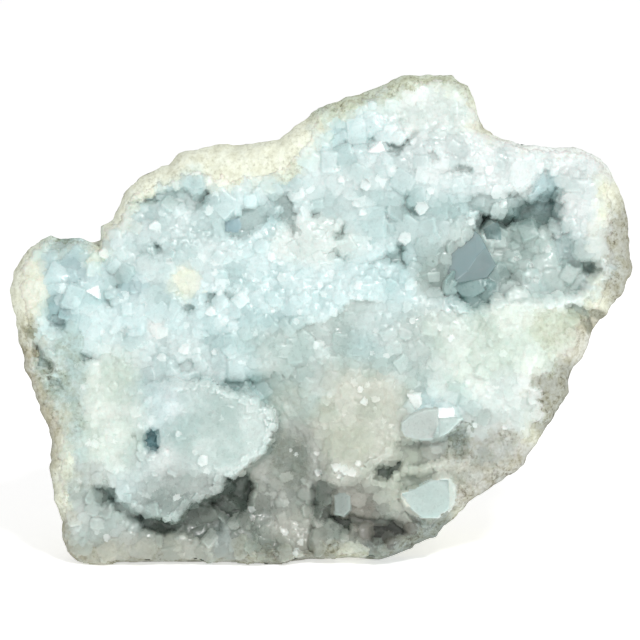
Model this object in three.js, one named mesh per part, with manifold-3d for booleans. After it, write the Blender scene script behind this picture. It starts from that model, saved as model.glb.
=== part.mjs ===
// A celestite geode: one broken half of a hollow stone, standing on the flat
// break along its lower edge. Units are millimetres, +Z is up, +X is to the
// right of someone who looks at the crystals, and the crystals face -Y.
//
// The stone is drawn in the plane of its open face and leaned back afterwards.
// In that plane a point is [across, up], and depth counts towards the viewer.

import * as THREE from "three";
import { ConvexGeometry } from "three/addons/geometries/ConvexGeometry.js";
import { mergeVertices } from "three/addons/utils/BufferGeometryUtils.js";
import Module from "manifold-3d";

const wasm = await Module();
wasm.setup();

// ---------------------------------------------------------------- dimensions

const LEAN_DEGREES = 10; // how far the open face leans back from upright
const FACE_SETBACK = -36.43; // where the foot of the face plane stands, along Y
const RIM_ROUND = 8; // radius of the rim, from the face round to the side
const BACK_DEPTH = 68; // how far the back bulges behind the widest outline
const BACK_CENTRE = [-2, 18]; // the back narrows towards this point
const BACK_RINGS = 7;
const BACK_FULLNESS = 0.65; // under 1, the sides run farther back before they close in
const BACK_END = 0.25; // size of the last ring, as a share of the outline
const BACK_SMOOTHING = 2; // rounds of smoothing of a ring, times its number squared
const BACK_LUMP = 5; // how far lumps and dents stand out of the back
const LUMP_SIZE = 26;

const FACE_CELL = 6.8; // spacing of the facets on the crystal crust
const BED_CELL = 12.5; // spacing of the facets under the crust
const FACET_JITTER = 0.26; // how far a facet's corner strays, in cells
const FACET_LIFT = 1.1; // how far a corner stands in or out
const CRUST_DEPTH = 3.4; // least thickness of the crust
const GAP = 0.3; // clearance between the rock and the crust
const FRONT = 70; // farther forward than anything on the face

const CRYSTAL_PITCH = 19; // mean distance between the modelled crystals
const CRYSTAL_WIDTH = [6.5, 11];
const CRYSTAL_TALL = 1.15; // height as a share of width
const CRYSTAL_SUNK = 0.42; // share of the height that is grown over
const CRYSTAL_TILT = 0.5; // how far a crystal leans from the surface
const CRYSTAL_CLEAR = 6; // bare distance from the rim to a crystal's axis
const STEEP = 1.3; // slopes over this carry no modelled crystal

// Flat breaks across the back: the way each one faces (across, up, forward)
// and how far it lies from the middle of the stone.
const BACK_BREAKS = {
  upperLeft: { faces: [-0.55, 0.45, -1], distance: 67 },
  upperRight: { faces: [0.5, 0.7, -1], distance: 92 },
  lowerRight: { faces: [0.9, -0.15, -1], distance: 92 },
  lowerLeft: { faces: [-0.95, -0.1, -0.9], distance: 92 },
  heel: { faces: [0.05, 0.1, -1], distance: 60 },
};
const STONE_MIDDLE = [0, 90, -10];

// The widest outline of the stone, clockwise from the left, and how wide the
// bare rind shows inside each corner.
const OUTLINE = [
  [-124, 111, 7], [-123, 118, 6], [-120.5, 123, 5], [-117, 127, 4],
  [-112.5, 131, 3], [-108, 133, 3], [-104.5, 131.5, 3], [-96, 132.5, 3],
  [-88.5, 128.5, 3], [-88, 136, 3], [-83, 139, 3], [-81, 145, 4],
  [-79, 150, 5], [-72, 156, 6], [-64.5, 159, 7], [-56.5, 165, 9],
  [-46.5, 168.5, 12], [-31.5, 169, 12], [-24, 169.5, 11], [-17, 171.5, 8],
  [-8.5, 177.5, 6], [-4, 182, 5], [2, 185, 5], [16, 189.5, 5],
  [31.5, 195.5, 4], [42.5, 197, 4], [52, 197, 4], [58.5, 192.5, 4],
  [60.5, 187, 5], [64, 175, 4], [71.5, 170.5, 3], [80, 168.5, 3],
  [97, 167.5, 3], [104.5, 167.5, 4], [112, 163, 5], [116, 157, 5],
  [120, 148, 5], [123, 137.5, 7], [123.5, 123, 8], [124, 116.5, 6],
  [119.5, 108.5, 5], [114, 101, 5], [108, 95, 8], [104, 84, 6],
  [99, 77, 10], [98, 69.5, 13], [91, 57.5, 7], [85, 49, 6],
  [80.5, 41, 7], [70.5, 33.5, 6], [62, 29, 5], [53, 19.5, 4],
  [48.5, 17, 4], [46, 12.5, 5], [33.5, 6.5, 4], [23.5, 3, 3],
  [12, 4, 2.5], [-4.5, 3, 2.5], [-22, 1, 2.5], [-37.5, 2, 2.5],
  [-54, 2, 2.5], [-69.5, 2, 2.5], [-81.5, 2, 2.5], [-87, 0, 3],
  [-97.5, 2, 3], [-102, 6, 4], [-103.5, 11.5, 4], [-103, 19, 4],
  [-106.5, 26.5, 4], [-108, 37, 5], [-108, 49, 5], [-108.5, 56, 5],
  [-112.5, 63, 6], [-118, 79, 7], [-121.5, 93, 7],
];

// Broad swells of the face: centre, reach across and up, and height.
const SWELLS = {
  middleShelf: { centre: [-12, 92], reach: [90, 40], rise: 5 },
  plateBack: { centre: [-62, 60], reach: [40, 34], rise: 11 },
  leftLobe: { centre: [-104, 108], reach: [26, 26], rise: 5 },
  upperBoss: { centre: [52, 160], reach: [70, 26], rise: 7 },
  upperShoulder: { centre: [-60, 128], reach: [40, 26], rise: 3 },
  rightSlope: { centre: [80, 84], reach: [34, 40], rise: 5 },
  rightWall: { centre: [108, 146], reach: [20, 26], rise: 6 },
  lowerHollow: { centre: [-12, 26], reach: [42, 30], rise: -9 },
  lowerRight: { centre: [36, 24], reach: [34, 20], rise: -3 },
};

// Ledges (rise over 0) and hollows (rise under 0) with a clear edge: how far
// the inside stands out or in, how wide the edge slopes, and the outline.
const FORMS = {
  rightPocket: {
    rise: -15, slope: 6,
    outline: [
      [46, 120.5], [49, 126], [58, 135], [64, 140], [76, 142], [80, 146],
      [94, 151], [98, 144.5], [97, 134], [102.5, 128.5], [111.5, 121],
      [111.5, 115], [103.5, 108.5], [83.5, 106], [71.5, 107.5],
      [62.5, 103.5], [52, 106], [47.5, 113],
    ],
  },
  pocketRoof: {
    rise: -14, slope: 4,
    outline: [
      [60, 141], [71.5, 140.5], [78, 144.5], [87.5, 147], [95.5, 148.5],
      [96, 137], [91.5, 131.5], [79.5, 134], [70.5, 133], [62.5, 135.5],
    ],
  },
  pocketFoot: {
    rise: -9, slope: 3,
    outline: [[50.5, 114], [66.5, 115.5], [69, 107.5], [59.5, 103.5], [51.5, 107]],
  },
  pocketNook: {
    rise: -6, slope: 4,
    outline: [[84, 158], [90.5, 159.5], [95.5, 151.5], [94, 147], [86, 147.5]],
  },
  blueTrench: {
    rise: -9, slope: 3,
    outline: [
      [-40.5, 138], [-32.5, 143], [-24, 145], [-20.5, 141], [-28, 135.5],
      [-31.5, 130.5], [-37.5, 131],
    ],
  },
  darkTrench: {
    rise: -10, slope: 3,
    outline: [
      [-23, 145], [-12.5, 149], [-8, 147], [-9, 138], [-12, 132],
      [-15, 137], [-20, 140.5],
    ],
  },
  rimTrench: {
    rise: -7, slope: 3,
    outline: [
      [-74, 147], [-64.5, 149.5], [-54, 151], [-44, 151], [-44, 146],
      [-50, 142], [-57.5, 144], [-68.5, 144.5],
    ],
  },
  topNotch: {
    rise: -7, slope: 3,
    outline: [[22, 170], [31.5, 169], [40, 175], [34, 166], [29, 162]],
  },
  middleCleft: {
    rise: -5, slope: 3,
    outline: [
      [19, 121.5], [26, 125], [30.5, 129.5], [34, 125], [33, 118.5],
      [26.5, 121],
    ],
  },
  lobePocket: {
    rise: -8, slope: 4,
    outline: [[-109.5, 112], [-99, 113], [-98, 97], [-104, 94.5], [-110, 98]],
  },
  lobeChannel: {
    rise: -4, slope: 5,
    outline: [[-90, 129], [-84, 122], [-80.5, 111], [-84, 99.5], [-88, 102], [-87, 115]],
  },
  plate: {
    rise: 8, slope: 3,
    outline: [
      [-68.5, 65], [-60.5, 68.5], [-48, 71], [-30, 69], [-20.5, 64],
      [-18, 57], [-20, 49], [-24, 45], [-30, 39], [-38, 36.5],
      [-40, 30.5], [-44, 28], [-48, 29.5], [-48.5, 26.5], [-56, 24.5],
      [-57.5, 19], [-63, 19], [-68.5, 22.5], [-76.5, 25], [-82, 29],
      [-88, 36.5], [-88.5, 51], [-80.5, 63],
    ],
  },
  underPlate: {
    rise: -9, slope: 3,
    outline: [
      [-82, 27], [-68.5, 20], [-57, 17], [-54, 22], [-46, 25.5],
      [-38, 34], [-29, 37], [-21, 44], [-14, 46], [-14, 31], [-24, 20],
      [-40, 8], [-56.5, 13], [-70, 13], [-78, 19],
    ],
  },
  plateHole: {
    rise: -14, slope: 3,
    outline: [[-72, 54], [-68, 57], [-63, 55], [-63.5, 47], [-68, 44.5], [-70.5, 48.5]],
  },
  cave: {
    rise: -10, slope: 3,
    outline: [[-94, 33.5], [-88.5, 34.5], [-81, 31.5], [-80, 27], [-87, 25.5], [-92, 28.5]],
  },
  valley: {
    rise: -6, slope: 8,
    outline: [[-24, 59], [-1.5, 59], [0, 39], [-2, 11], [-24, 4.5], [-28.5, 27]],
  },
  creamMass: {
    rise: 8, slope: 5,
    outline: [
      [-1.5, 66], [5, 74], [22.5, 77], [33, 73], [32, 55], [22, 44.5],
      [18, 39], [6, 35], [-0.5, 42],
    ],
  },
  massFoot: {
    rise: -10, slope: 3,
    outline: [[-5.5, 33], [7.5, 33], [20, 35], [22, 28.5], [7.5, 27], [5, 18], [-4, 18]],
  },
  lowPit: {
    rise: -7, slope: 3,
    outline: [[19.5, 14.5], [25, 17], [33, 18.5], [33, 13.5], [22.5, 9.5]],
  },
  twinHoles: {
    rise: -9, slope: 3,
    outline: [[21, 36.5], [24, 41.5], [31, 42.5], [31, 38], [25, 33.5]],
  },
  clearSlab: {
    rise: 6, slope: 3,
    outline: [[31.5, 57], [41, 63.5], [55.5, 65], [56, 59], [46.5, 51.5], [32, 51.5]],
  },
  slabFoot: {
    rise: -6, slope: 4,
    outline: [[29, 50], [47.5, 51], [57, 57], [58.5, 43.5], [47.5, 39], [31.5, 39]],
  },
  paleBlade: {
    rise: 6, slope: 3,
    outline: [
      [30, 29.5], [45.5, 35.5], [52, 37], [54, 27.5], [48, 19.5],
      [39.5, 20.5], [31.5, 24.5],
    ],
  },
  plateGap: {
    rise: -8, slope: 2.5,
    outline: [[-41, 73], [-34.5, 78], [-28, 74], [-26.5, 70], [-34, 69], [-38, 70]],
  },
  lipCrease: {
    rise: -5, slope: 3,
    outline: [[95, 105], [105.5, 103.5], [114.5, 98], [110, 95], [103.5, 99.5], [98, 102]],
  },
};

// The crystals large enough to be known one by one: where each stands, the
// way it points (across, up, forward), its width, thickness and height, the
// turn about its own length, and how long its end ridge is.
const NAMED_CRYSTALS = {
  blueGiant: {
    at: [60, 118], depth: -17, aim: [0.1, 0.5, 1], size: [22, 15, 26], turn: 0.75, ridge: 0.5,
  },
  pocketLeft: {
    at: [50, 110], depth: -14, aim: [0.4, 0.3, 1], size: [11, 8, 13], turn: 0.2, ridge: 0.4,
  },
  pocketFloorA: {
    at: [78, 124], depth: -17, aim: [-0.2, 0.5, 1], size: [11, 10, 13], turn: 1.1, ridge: 0.3,
  },
  pocketFloorB: {
    at: [90, 121], depth: -16, aim: [0.3, 0.6, 1], size: [12, 10, 13], turn: 0.4, ridge: 0.3,
  },
  pocketFloorC: {
    at: [84, 113], depth: -12, aim: [0.1, 0.4, 1], size: [11, 9, 11], turn: 0.9, ridge: 0.3,
  },
  slabTip: {
    at: [46, 58], depth: 0, aim: [0.5, 0.2, 1], size: [13, 9, 15], turn: 0.35, ridge: 0.7,
  },
  lobePoint: {
    at: [-91.5, 109], depth: 1, aim: [0.3, 0.5, 1], size: [9, 8, 10], turn: 0.6, ridge: 0.3,
  },
  topPoint: {
    at: [21, 165], depth: 2, aim: [0.1, 0.4, 1], size: [9, 8, 10], turn: 0.5, ridge: 0.2,
  },
};

const FINISH = {
  rind: { color: 0xc9c6b4, roughness: 0.9, metalness: 0 },
  crystalCrust: { color: 0xd6e8e8, roughness: 0.25, metalness: 0 },
};

// ------------------------------------------------------------ small helpers

const BLOCK = 400; // side of a cutting block, larger than the stone
const SEED = 7;

// Numbers from 0 to 1 that look random and are the same on every run.
function seededNumbers(seed) {
  let state = seed >>> 0;
  return () => {
    state = (state + 0x6d2b79f5) >>> 0;
    let t = Math.imul(state ^ (state >>> 15), 1 | state);
    t = (t + Math.imul(t ^ (t >>> 7), 61 | t)) ^ t;
    return ((t ^ (t >>> 14)) >>> 0) / 4294967296;
  };
}

const between = (random, [low, high]) => low + (high - low) * random();

// Rises smoothly from 0 to 1 while t goes from 0 to 1.
function easeStep(t) {
  const s = Math.min(1, Math.max(0, t));
  return s * s * (3 - 2 * s);
}

// A fixed value from -1 to 1 for each corner of a cubic lattice.
function latticeValue(i, j, k) {
  const wave = Math.sin(i * 127.1 + j * 311.7 + k * 74.7) * 43758.5453;
  return 2 * (wave - Math.floor(wave)) - 1;
}

// Smooth noise from -1 to 1 over space, with lumps about one unit wide.
function lumps(x, y, z) {
  const base = [x, y, z].map(Math.floor);
  const part = [x, y, z].map((value, axis) => easeStep(value - base[axis]));
  let total = 0;
  for (let corner = 0; corner < 8; corner++) {
    const step = [corner & 1, (corner >> 1) & 1, (corner >> 2) & 1];
    const weight = step.reduce(
      (product, on, axis) => product * (on ? part[axis] : 1 - part[axis]),
      1,
    );
    total += weight * latticeValue(...step.map((on, axis) => base[axis] + on));
  }
  return total;
}

// Distance from a point to a closed outline, negative inside it.
function edgeDistance(u, v, outline) {
  let nearest = Infinity;
  let inside = false;
  outline.forEach(([ax, ay], index) => {
    const [bx, by] = outline[(index + 1) % outline.length];
    const along = ((u - ax) * (bx - ax) + (v - ay) * (by - ay)) / ((bx - ax) ** 2 + (by - ay) ** 2);
    const t = Math.min(1, Math.max(0, along));
    nearest = Math.min(nearest, Math.hypot(u - ax - t * (bx - ax), v - ay - t * (by - ay)));
    if (ay > v !== by > v && u < ax + ((bx - ax) * (v - ay)) / (by - ay)) inside = !inside;
  });
  return inside ? -nearest : nearest;
}

// The outline moved inwards at each corner by its own rim width less `less`.
function insetOutline(less) {
  return OUTLINE.map(([x, y, rim], index) => {
    const [px, py] = OUTLINE.at(index - 1);
    const [nx, ny] = OUTLINE[(index + 1) % OUTLINE.length];
    const span = Math.hypot(nx - px, ny - py);
    return [x + ((ny - py) / span) * (rim - less), y - ((nx - px) / span) * (rim - less)];
  });
}

// ---------------------------------------------------------- from face to world

const toWorld = new THREE.Matrix4()
  .makeTranslation(0, FACE_SETBACK, 0)
  .multiply(new THREE.Matrix4().makeRotationX(THREE.MathUtils.degToRad(90 - LEAN_DEGREES)));

// A solid from a closed geometry, its shared vertices merged.
function toSolid(geometry) {
  const bare = geometry.clone();
  bare.deleteAttribute("normal");
  bare.deleteAttribute("uv");
  const merged = mergeVertices(bare, 1e-4);
  return new wasm.Manifold(
    new wasm.Mesh({
      numProp: 3,
      vertProperties: merged.attributes.position.array,
      triVerts: new Uint32Array(merged.index.array),
    }),
  );
}

// A geometry drawn on the face becomes a solid where the stone stands.
const faceSolid = (geometry) => toSolid(geometry.clone().applyMatrix4(toWorld));

function toGeometry(solid) {
  const mesh = solid.getMesh();
  const geometry = new THREE.BufferGeometry();
  geometry.setAttribute("position", new THREE.BufferAttribute(mesh.vertProperties, 3));
  geometry.setIndex(new THREE.BufferAttribute(mesh.triVerts, 1));
  return geometry;
}

function indexedGeometry(points, triangles) {
  const geometry = new THREE.BufferGeometry();
  geometry.setAttribute("position", new THREE.Float32BufferAttribute(points.flat(), 3));
  geometry.setIndex(triangles.flat());
  return geometry;
}

// ---------------------------------------------------------------- the relief

const formList = Object.values(FORMS);
const swellList = Object.values(SWELLS);

// How far the face stands forward of its own plane at a point.
function faceDepth(u, v) {
  let depth = 0;
  for (const { centre, reach, rise } of swellList) {
    const away = Math.hypot((u - centre[0]) / reach[0], (v - centre[1]) / reach[1]);
    depth += rise * easeStep(1 - away);
  }
  for (const { rise, slope, outline } of formList) {
    depth += rise * easeStep(0.5 - edgeDistance(u, v, outline) / slope);
  }
  return depth - rimFall(-edgeDistance(u, v, OUTLINE));
}

// The rim is a quarter round: nothing at its inner edge, its radius outside.
function rimFall(inward) {
  const t = Math.min(1, Math.max(0, 1 - inward / RIM_ROUND));
  return RIM_ROUND * (1 - Math.sqrt(1 - t * t));
}

// The bed under the crust: below the lowest crust nearby.
function bedDepth(u, v) {
  let lowest = Infinity;
  for (let turn = 0; turn < 8; turn++) {
    for (const share of [0, 0.5, 1]) {
      const angle = (turn * Math.PI) / 4;
      const reach = BED_CELL * 0.8 * share;
      lowest = Math.min(
        lowest,
        faceDepth(u + reach * Math.cos(angle), v + reach * Math.sin(angle)),
      );
    }
  }
  return lowest - CRUST_DEPTH;
}

// A faceted slab between a wavy sheet and a flat one, over the whole face.
function sheetSlab(cell, height, flatDepth, jitter, lift, seed) {
  const random = seededNumbers(seed);
  const [left, right, low, high] = [-132, 132, -8, 206];
  const columns = Math.ceil((right - left) / cell);
  const rows = Math.ceil((high - low) / cell);
  const wavy = [];
  const flat = [];
  for (let row = 0; row <= rows; row++) {
    for (let column = 0; column <= columns; column++) {
      const onEdge = row === 0 || column === 0 || row === rows || column === columns;
      const stray = onEdge ? 0 : jitter * cell;
      const u = left + column * cell + stray * (2 * random() - 1);
      const v = low + row * cell + stray * (2 * random() - 1);
      wavy.push([u, v, height(u, v) + lift * (2 * random() - 1)]);
      flat.push([u, v, flatDepth]);
    }
  }
  return indexedGeometry([...wavy, ...flat], slabTriangles(columns, rows, flatDepth < 0));
}

// Triangles of the wavy sheet, the flat one and the four sides of such a slab.
function slabTriangles(columns, rows, wavyInFront) {
  const width = columns + 1;
  const count = width * (rows + 1);
  const triangles = [];
  for (let row = 0; row < rows; row++) {
    for (let column = 0; column < columns; column++) {
      const a = row * width + column;
      const [b, c, d] = [a + 1, a + width + 1, a + width];
      const cells = (row + column) % 2 ? [[a, b, c], [a, c, d]] : [[a, b, d], [b, c, d]];
      for (const [i, j, k] of cells) {
        triangles.push([i, j, k], [i + count, k + count, j + count]);
      }
    }
  }
  const border = [
    ...Array.from({ length: columns }, (_, i) => i),
    ...Array.from({ length: rows }, (_, i) => i * width + columns),
    ...Array.from({ length: columns }, (_, i) => rows * width + columns - i),
    ...Array.from({ length: rows }, (_, i) => (rows - i) * width),
  ];
  border.forEach((from, index) => {
    const to = border[(index + 1) % border.length];
    triangles.push([from, from + count, to], [to, from + count, to + count]);
  });
  return wavyInFront ? triangles : triangles.map(([i, j, k]) => [i, k, j]);
}

// A straight-sided block over an outline, from behind the stone to its front.
function prism(outline) {
  const shape = new THREE.Shape(outline.map(([x, y]) => new THREE.Vector2(x, y)));
  const geometry = new THREE.ExtrudeGeometry(shape, { depth: 2 * FRONT, bevelEnabled: false });
  return geometry.translate(0, 0, -FRONT);
}

// The half-space under `height`, as a block.
function blockBelow(height) {
  return toSolid(new THREE.BoxGeometry(BLOCK, BLOCK, BLOCK).translate(0, 0, height - BLOCK / 2));
}

function largestBody(solid) {
  return solid.decompose().reduce((a, b) => (b.volume() > a.volume() ? b : a));
}

// -------------------------------------------------------------------- rind

// The outline with its corners worn off by so many rounds of averaging.
function wornOutline(rounds) {
  let worn = OUTLINE.map(([x, y]) => [x, y]);
  for (let round = 0; round < rounds; round++) {
    worn = worn.map(([x, y], index) => {
      const [px, py] = worn.at(index - 1);
      const [nx, ny] = worn[(index + 1) % worn.length];
      return [x / 2 + (px + nx) / 4, y / 2 + (py + ny) / 4];
    });
  }
  return worn;
}

// The outside of the stone: straight forward from the widest outline, and
// rounded off behind it in rings that narrow and wear smooth towards the back.
function stoneBody() {
  const corners = OUTLINE.length;
  const points = OUTLINE.map(([x, y]) => [x, y, FRONT]);
  for (let ring = 0; ring <= BACK_RINGS; ring++) {
    const turn = (ring / BACK_RINGS) * Math.acos(BACK_END ** (1 / BACK_FULLNESS));
    const share = Math.cos(turn) ** BACK_FULLNESS;
    const depth = -RIM_ROUND - BACK_DEPTH * Math.sin(turn);
    const worn = wornOutline(BACK_SMOOTHING * ring * ring);
    for (const [x, y] of worn) points.push(backPoint(x, y, share, depth, ring));
  }
  const triangles = [];
  for (let ring = 0; ring <= BACK_RINGS; ring++) {
    for (let i = 0; i < corners; i++) {
      const a = ring * corners + i;
      const b = ring * corners + ((i + 1) % corners);
      triangles.push([a, b, a + corners], [b, b + corners, a + corners]);
    }
  }
  const plan = OUTLINE.map(([x, y]) => new THREE.Vector2(x, y));
  const last = corners * (BACK_RINGS + 1);
  for (const [i, j, k] of THREE.ShapeUtils.triangulateShape(plan, [])) {
    triangles.push([i, j, k], [last + i, last + k, last + j]);
  }
  return indexedGeometry(points, outward(points, triangles));
}

// One corner of a back ring, pushed in or out by the lumps of the rock.
function backPoint(x, y, share, depth, ring) {
  const u = BACK_CENTRE[0] + (x - BACK_CENTRE[0]) * share;
  const v = BACK_CENTRE[1] + (y - BACK_CENTRE[1]) * share;
  const swing = ring ? BACK_LUMP * lumps(u / LUMP_SIZE, v / LUMP_SIZE, depth / LUMP_SIZE) : 0;
  const away = Math.hypot(u - BACK_CENTRE[0], v - BACK_CENTRE[1]) || 1;
  return [
    u + ((u - BACK_CENTRE[0]) / away) * swing * share,
    v + ((v - BACK_CENTRE[1]) / away) * swing * share,
    depth - swing * (1 - share),
  ];
}

// The same triangles, all turned round if they enclose a negative volume.
function outward(points, triangles) {
  const volume = triangles.reduce((sum, [i, j, k]) => {
    const [a, b, c] = [points[i], points[j], points[k]].map((p) => new THREE.Vector3(...p));
    return sum + a.dot(b.cross(c));
  }, 0);
  return volume > 0 ? triangles : triangles.map(([i, j, k]) => [i, k, j]);
}

// The block that one flat break takes off the back.
function breakBlock({ faces, distance }) {
  const aim = new THREE.Vector3(...faces).normalize();
  const swing = new THREE.Quaternion().setFromUnitVectors(new THREE.Vector3(0, 0, 1), aim);
  const block = new THREE.BoxGeometry(BLOCK, BLOCK, BLOCK);
  block.translate(0, 0, distance + BLOCK / 2).applyQuaternion(swing);
  return block.translate(...STONE_MIDDLE);
}

function buildRind() {
  const face = sheetSlab(FACE_CELL, faceDepth, FRONT + 10, FACET_JITTER, FACET_LIFT * 0.6, SEED);
  const bed = sheetSlab(BED_CELL, bedDepth, FRONT + 10, 0, 0, SEED);
  const hollow = faceSolid(prism(insetOutline(GAP * 1.5))).intersect(faceSolid(bed));
  const broken = Object.values(BACK_BREAKS)
    .map(breakBlock)
    .map(faceSolid)
    .reduce((stone, block) => stone.subtract(block), faceSolid(stoneBody()));
  const body = broken.subtract(faceSolid(face)).subtract(hollow);
  return largestBody(body.subtract(blockBelow(0)));
}

// ------------------------------------------------------------ crystal crust

// A blocky crystal: a four-sided prism whose end slopes up to a short ridge.
// It points along +Z and its foot is at the origin.
function crystal([width, thickness, height], ridge) {
  const shoulder = height - Math.min(width, thickness) * 0.5;
  const corners = [];
  for (const [sx, sy] of [[-1, -1], [1, -1], [1, 1], [-1, 1]]) {
    for (const level of [0, shoulder]) {
      corners.push(new THREE.Vector3((sx * width) / 2, (sy * thickness) / 2, level));
    }
  }
  for (const side of [-1, 1]) {
    corners.push(new THREE.Vector3((side * width * ridge) / 2, 0, height));
  }
  return new ConvexGeometry(corners);
}

// Turns a crystal to point along `aim` and stands its foot at a place.
function standCrystal(geometry, place, aim, turn) {
  const upright = new THREE.Vector3(0, 0, 1);
  const swing = new THREE.Quaternion().setFromUnitVectors(upright, aim.clone().normalize());
  return geometry.rotateZ(turn).applyQuaternion(swing).translate(...place);
}

// The way the face slopes at a point, as a vector that points out of it.
function faceNormal(u, v) {
  const reach = 2.5;
  const across = (faceDepth(u + reach, v) - faceDepth(u - reach, v)) / (2 * reach);
  const up = (faceDepth(u, v + reach) - faceDepth(u, v - reach)) / (2 * reach);
  return new THREE.Vector3(-across, -up, 1);
}

// Crystals of mixed sizes over the whole crust, one near each point of a
// staggered lattice, left out on steep walls.
function scatteredCrystals(inner) {
  const random = seededNumbers(SEED + 4);
  const found = [];
  const rowStep = CRYSTAL_PITCH * Math.sqrt(0.75);
  for (let row = 0; row * rowStep < 200; row++) {
    for (let column = -10; column <= 10; column++) {
      const u = (column + (row % 2) / 2 + 0.5 * (random() - 0.5)) * CRYSTAL_PITCH;
      const v = row * rowStep + 0.5 * CRYSTAL_PITCH * (random() - 0.5);
      const width = between(random, CRYSTAL_WIDTH);
      const size = [width, width * between(random, [0.6, 1]), width * CRYSTAL_TALL];
      const aim = faceNormal(u, v).normalize();
      aim.x += CRYSTAL_TILT * (2 * random() - 1);
      aim.y += CRYSTAL_TILT * (2 * random() - 1);
      const turn = random() * Math.PI;
      const ridge = between(random, [0.1, 0.6]);
      const steep = Math.hypot(faceNormal(u, v).x, faceNormal(u, v).y) > STEEP;
      if (edgeDistance(u, v, inner) > -CRYSTAL_CLEAR || steep) continue;
      const depth = faceDepth(u, v) - CRYSTAL_SUNK * size[2];
      found.push(standCrystal(crystal(size, ridge), [u, v, depth], aim, turn));
    }
  }
  return found;
}

const namedCrystals = () =>
  Object.values(NAMED_CRYSTALS).map(({ at, depth, aim, size, turn, ridge }) =>
    standCrystal(crystal(size, ridge), [...at, depth], new THREE.Vector3(...aim), turn),
  );

function buildCrust() {
  const inner = insetOutline(0);
  const face = sheetSlab(FACE_CELL, faceDepth, -FRONT - 10, FACET_JITTER, FACET_LIFT, SEED + 1);
  const bed = sheetSlab(BED_CELL, (u, v) => bedDepth(u, v) + GAP, FRONT + 10, 0, 0, SEED);
  const grown = [...scatteredCrystals(inner), ...namedCrystals()]
    .map(faceSolid)
    .reduce((all, one) => all.add(one), faceSolid(face));
  const plan = faceSolid(prism(inner));
  return largestBody(grown.intersect(plan).intersect(faceSolid(bed)).subtract(blockBelow(GAP)));
}

// ------------------------------------------------------------------ assembly

function namedMesh(name, solid, finish) {
  const mesh = new THREE.Mesh(toGeometry(solid), new THREE.MeshStandardMaterial(finish));
  mesh.name = name;
  return mesh;
}

const geode = new THREE.Group();
geode.name = "celestite_geode";
geode.add(namedMesh("rind", buildRind(), FINISH.rind));
geode.add(namedMesh("crystal_crust", buildCrust(), FINISH.crystalCrust));

export default geode;
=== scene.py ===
"""A celestite geode on a pale floor.

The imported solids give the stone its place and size. This script grows the fine surface on them: the sugary
rock of the rind, the crust of small crystals over the open face, and the large clear crystal in its pocket.
The open face is worked out in its own plane, in millimetres: u runs across, v runs up, and w counts towards
the one who looks at the crystals. Everything else is in metres.
"""

import itertools
import logging
import math
from dataclasses import dataclass, field
from enum import Enum

import bmesh
import bpy
import numpy as np
from mathutils import Matrix, Vector
from mathutils.geometry import delaunay_2d_cdt


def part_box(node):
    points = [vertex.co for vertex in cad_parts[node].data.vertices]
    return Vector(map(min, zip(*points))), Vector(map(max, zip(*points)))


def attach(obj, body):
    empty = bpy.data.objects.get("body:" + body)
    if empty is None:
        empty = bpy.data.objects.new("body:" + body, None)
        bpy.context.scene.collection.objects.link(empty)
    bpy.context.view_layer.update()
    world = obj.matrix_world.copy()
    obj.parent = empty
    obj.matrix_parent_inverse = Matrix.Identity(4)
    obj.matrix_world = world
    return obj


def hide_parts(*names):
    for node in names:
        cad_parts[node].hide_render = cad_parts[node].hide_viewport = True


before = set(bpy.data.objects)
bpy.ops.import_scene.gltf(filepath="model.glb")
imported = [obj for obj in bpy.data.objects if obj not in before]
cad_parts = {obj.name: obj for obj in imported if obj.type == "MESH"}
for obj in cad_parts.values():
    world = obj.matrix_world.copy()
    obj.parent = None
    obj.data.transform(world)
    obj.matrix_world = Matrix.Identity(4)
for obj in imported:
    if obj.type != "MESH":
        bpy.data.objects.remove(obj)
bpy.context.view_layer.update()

MM = 0.001
BODY = "root"
log = logging.getLogger("geode")

WHITE = (0.93, 0.97, 0.95)
# The w of a place where no crystal has grown.
ABSENT = -99.0

Array = np.ndarray
Piece = bpy.types.Object
Socket = bpy.types.NodeSocket
Pair = tuple[float, float]
Triple = tuple[float, float, float]
Stops = tuple[tuple[float, Triple], ...]


class Tone(Enum):
    """The colours of the crystals and of the rock, as shares of red, green and blue."""

    SNOW = (0.88, 0.94, 0.92)
    ICE = (0.81, 0.88, 0.9)
    MILK = (0.77, 0.83, 0.8)
    CREAM = (0.81, 0.84, 0.71)
    PALE_GREEN = (0.72, 0.8, 0.73)
    PEARL = (0.67, 0.73, 0.72)
    AQUA = (0.58, 0.73, 0.73)
    WATER = (0.6, 0.71, 0.7)
    MIST = (0.63, 0.69, 0.67)
    SAND = (0.67, 0.68, 0.61)
    SAGE = (0.6, 0.66, 0.61)
    STRAW = (0.61, 0.67, 0.55)
    HAZE = (0.54, 0.64, 0.61)
    OAT = (0.56, 0.585, 0.505)
    DOVE = (0.56, 0.565, 0.515)
    LAGOON = (0.46, 0.59, 0.58)
    ASH = (0.51, 0.57, 0.54)
    TEAL = (0.41, 0.56, 0.57)
    TAN = (0.55, 0.54, 0.44)
    LICHEN = (0.46, 0.55, 0.52)
    MOSS = (0.49, 0.525, 0.43)
    BLUE = (0.36, 0.5, 0.53)
    GREY = (0.44, 0.46, 0.425)
    FLINT = (0.445, 0.455, 0.4)
    STONE = (0.4, 0.415, 0.365)
    SEA = (0.3, 0.42, 0.41)
    SLATE = (0.33, 0.38, 0.355)
    UMBER = (0.35, 0.34, 0.23)
    DUSK = (0.29, 0.32, 0.28)
    BARK = (0.255, 0.25, 0.21)
    HOLE_SHADE = (0.14, 0.27, 0.29)
    SOOT = (0.175, 0.17, 0.145)


# ---- number helpers


def ease(t: Array) -> Array:
    """Return a smooth step from 0 to 1 while t goes from 0 to 1."""
    s = np.clip(t, 0.0, 1.0)
    return s * s * (3.0 - 2.0 * s)


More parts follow.
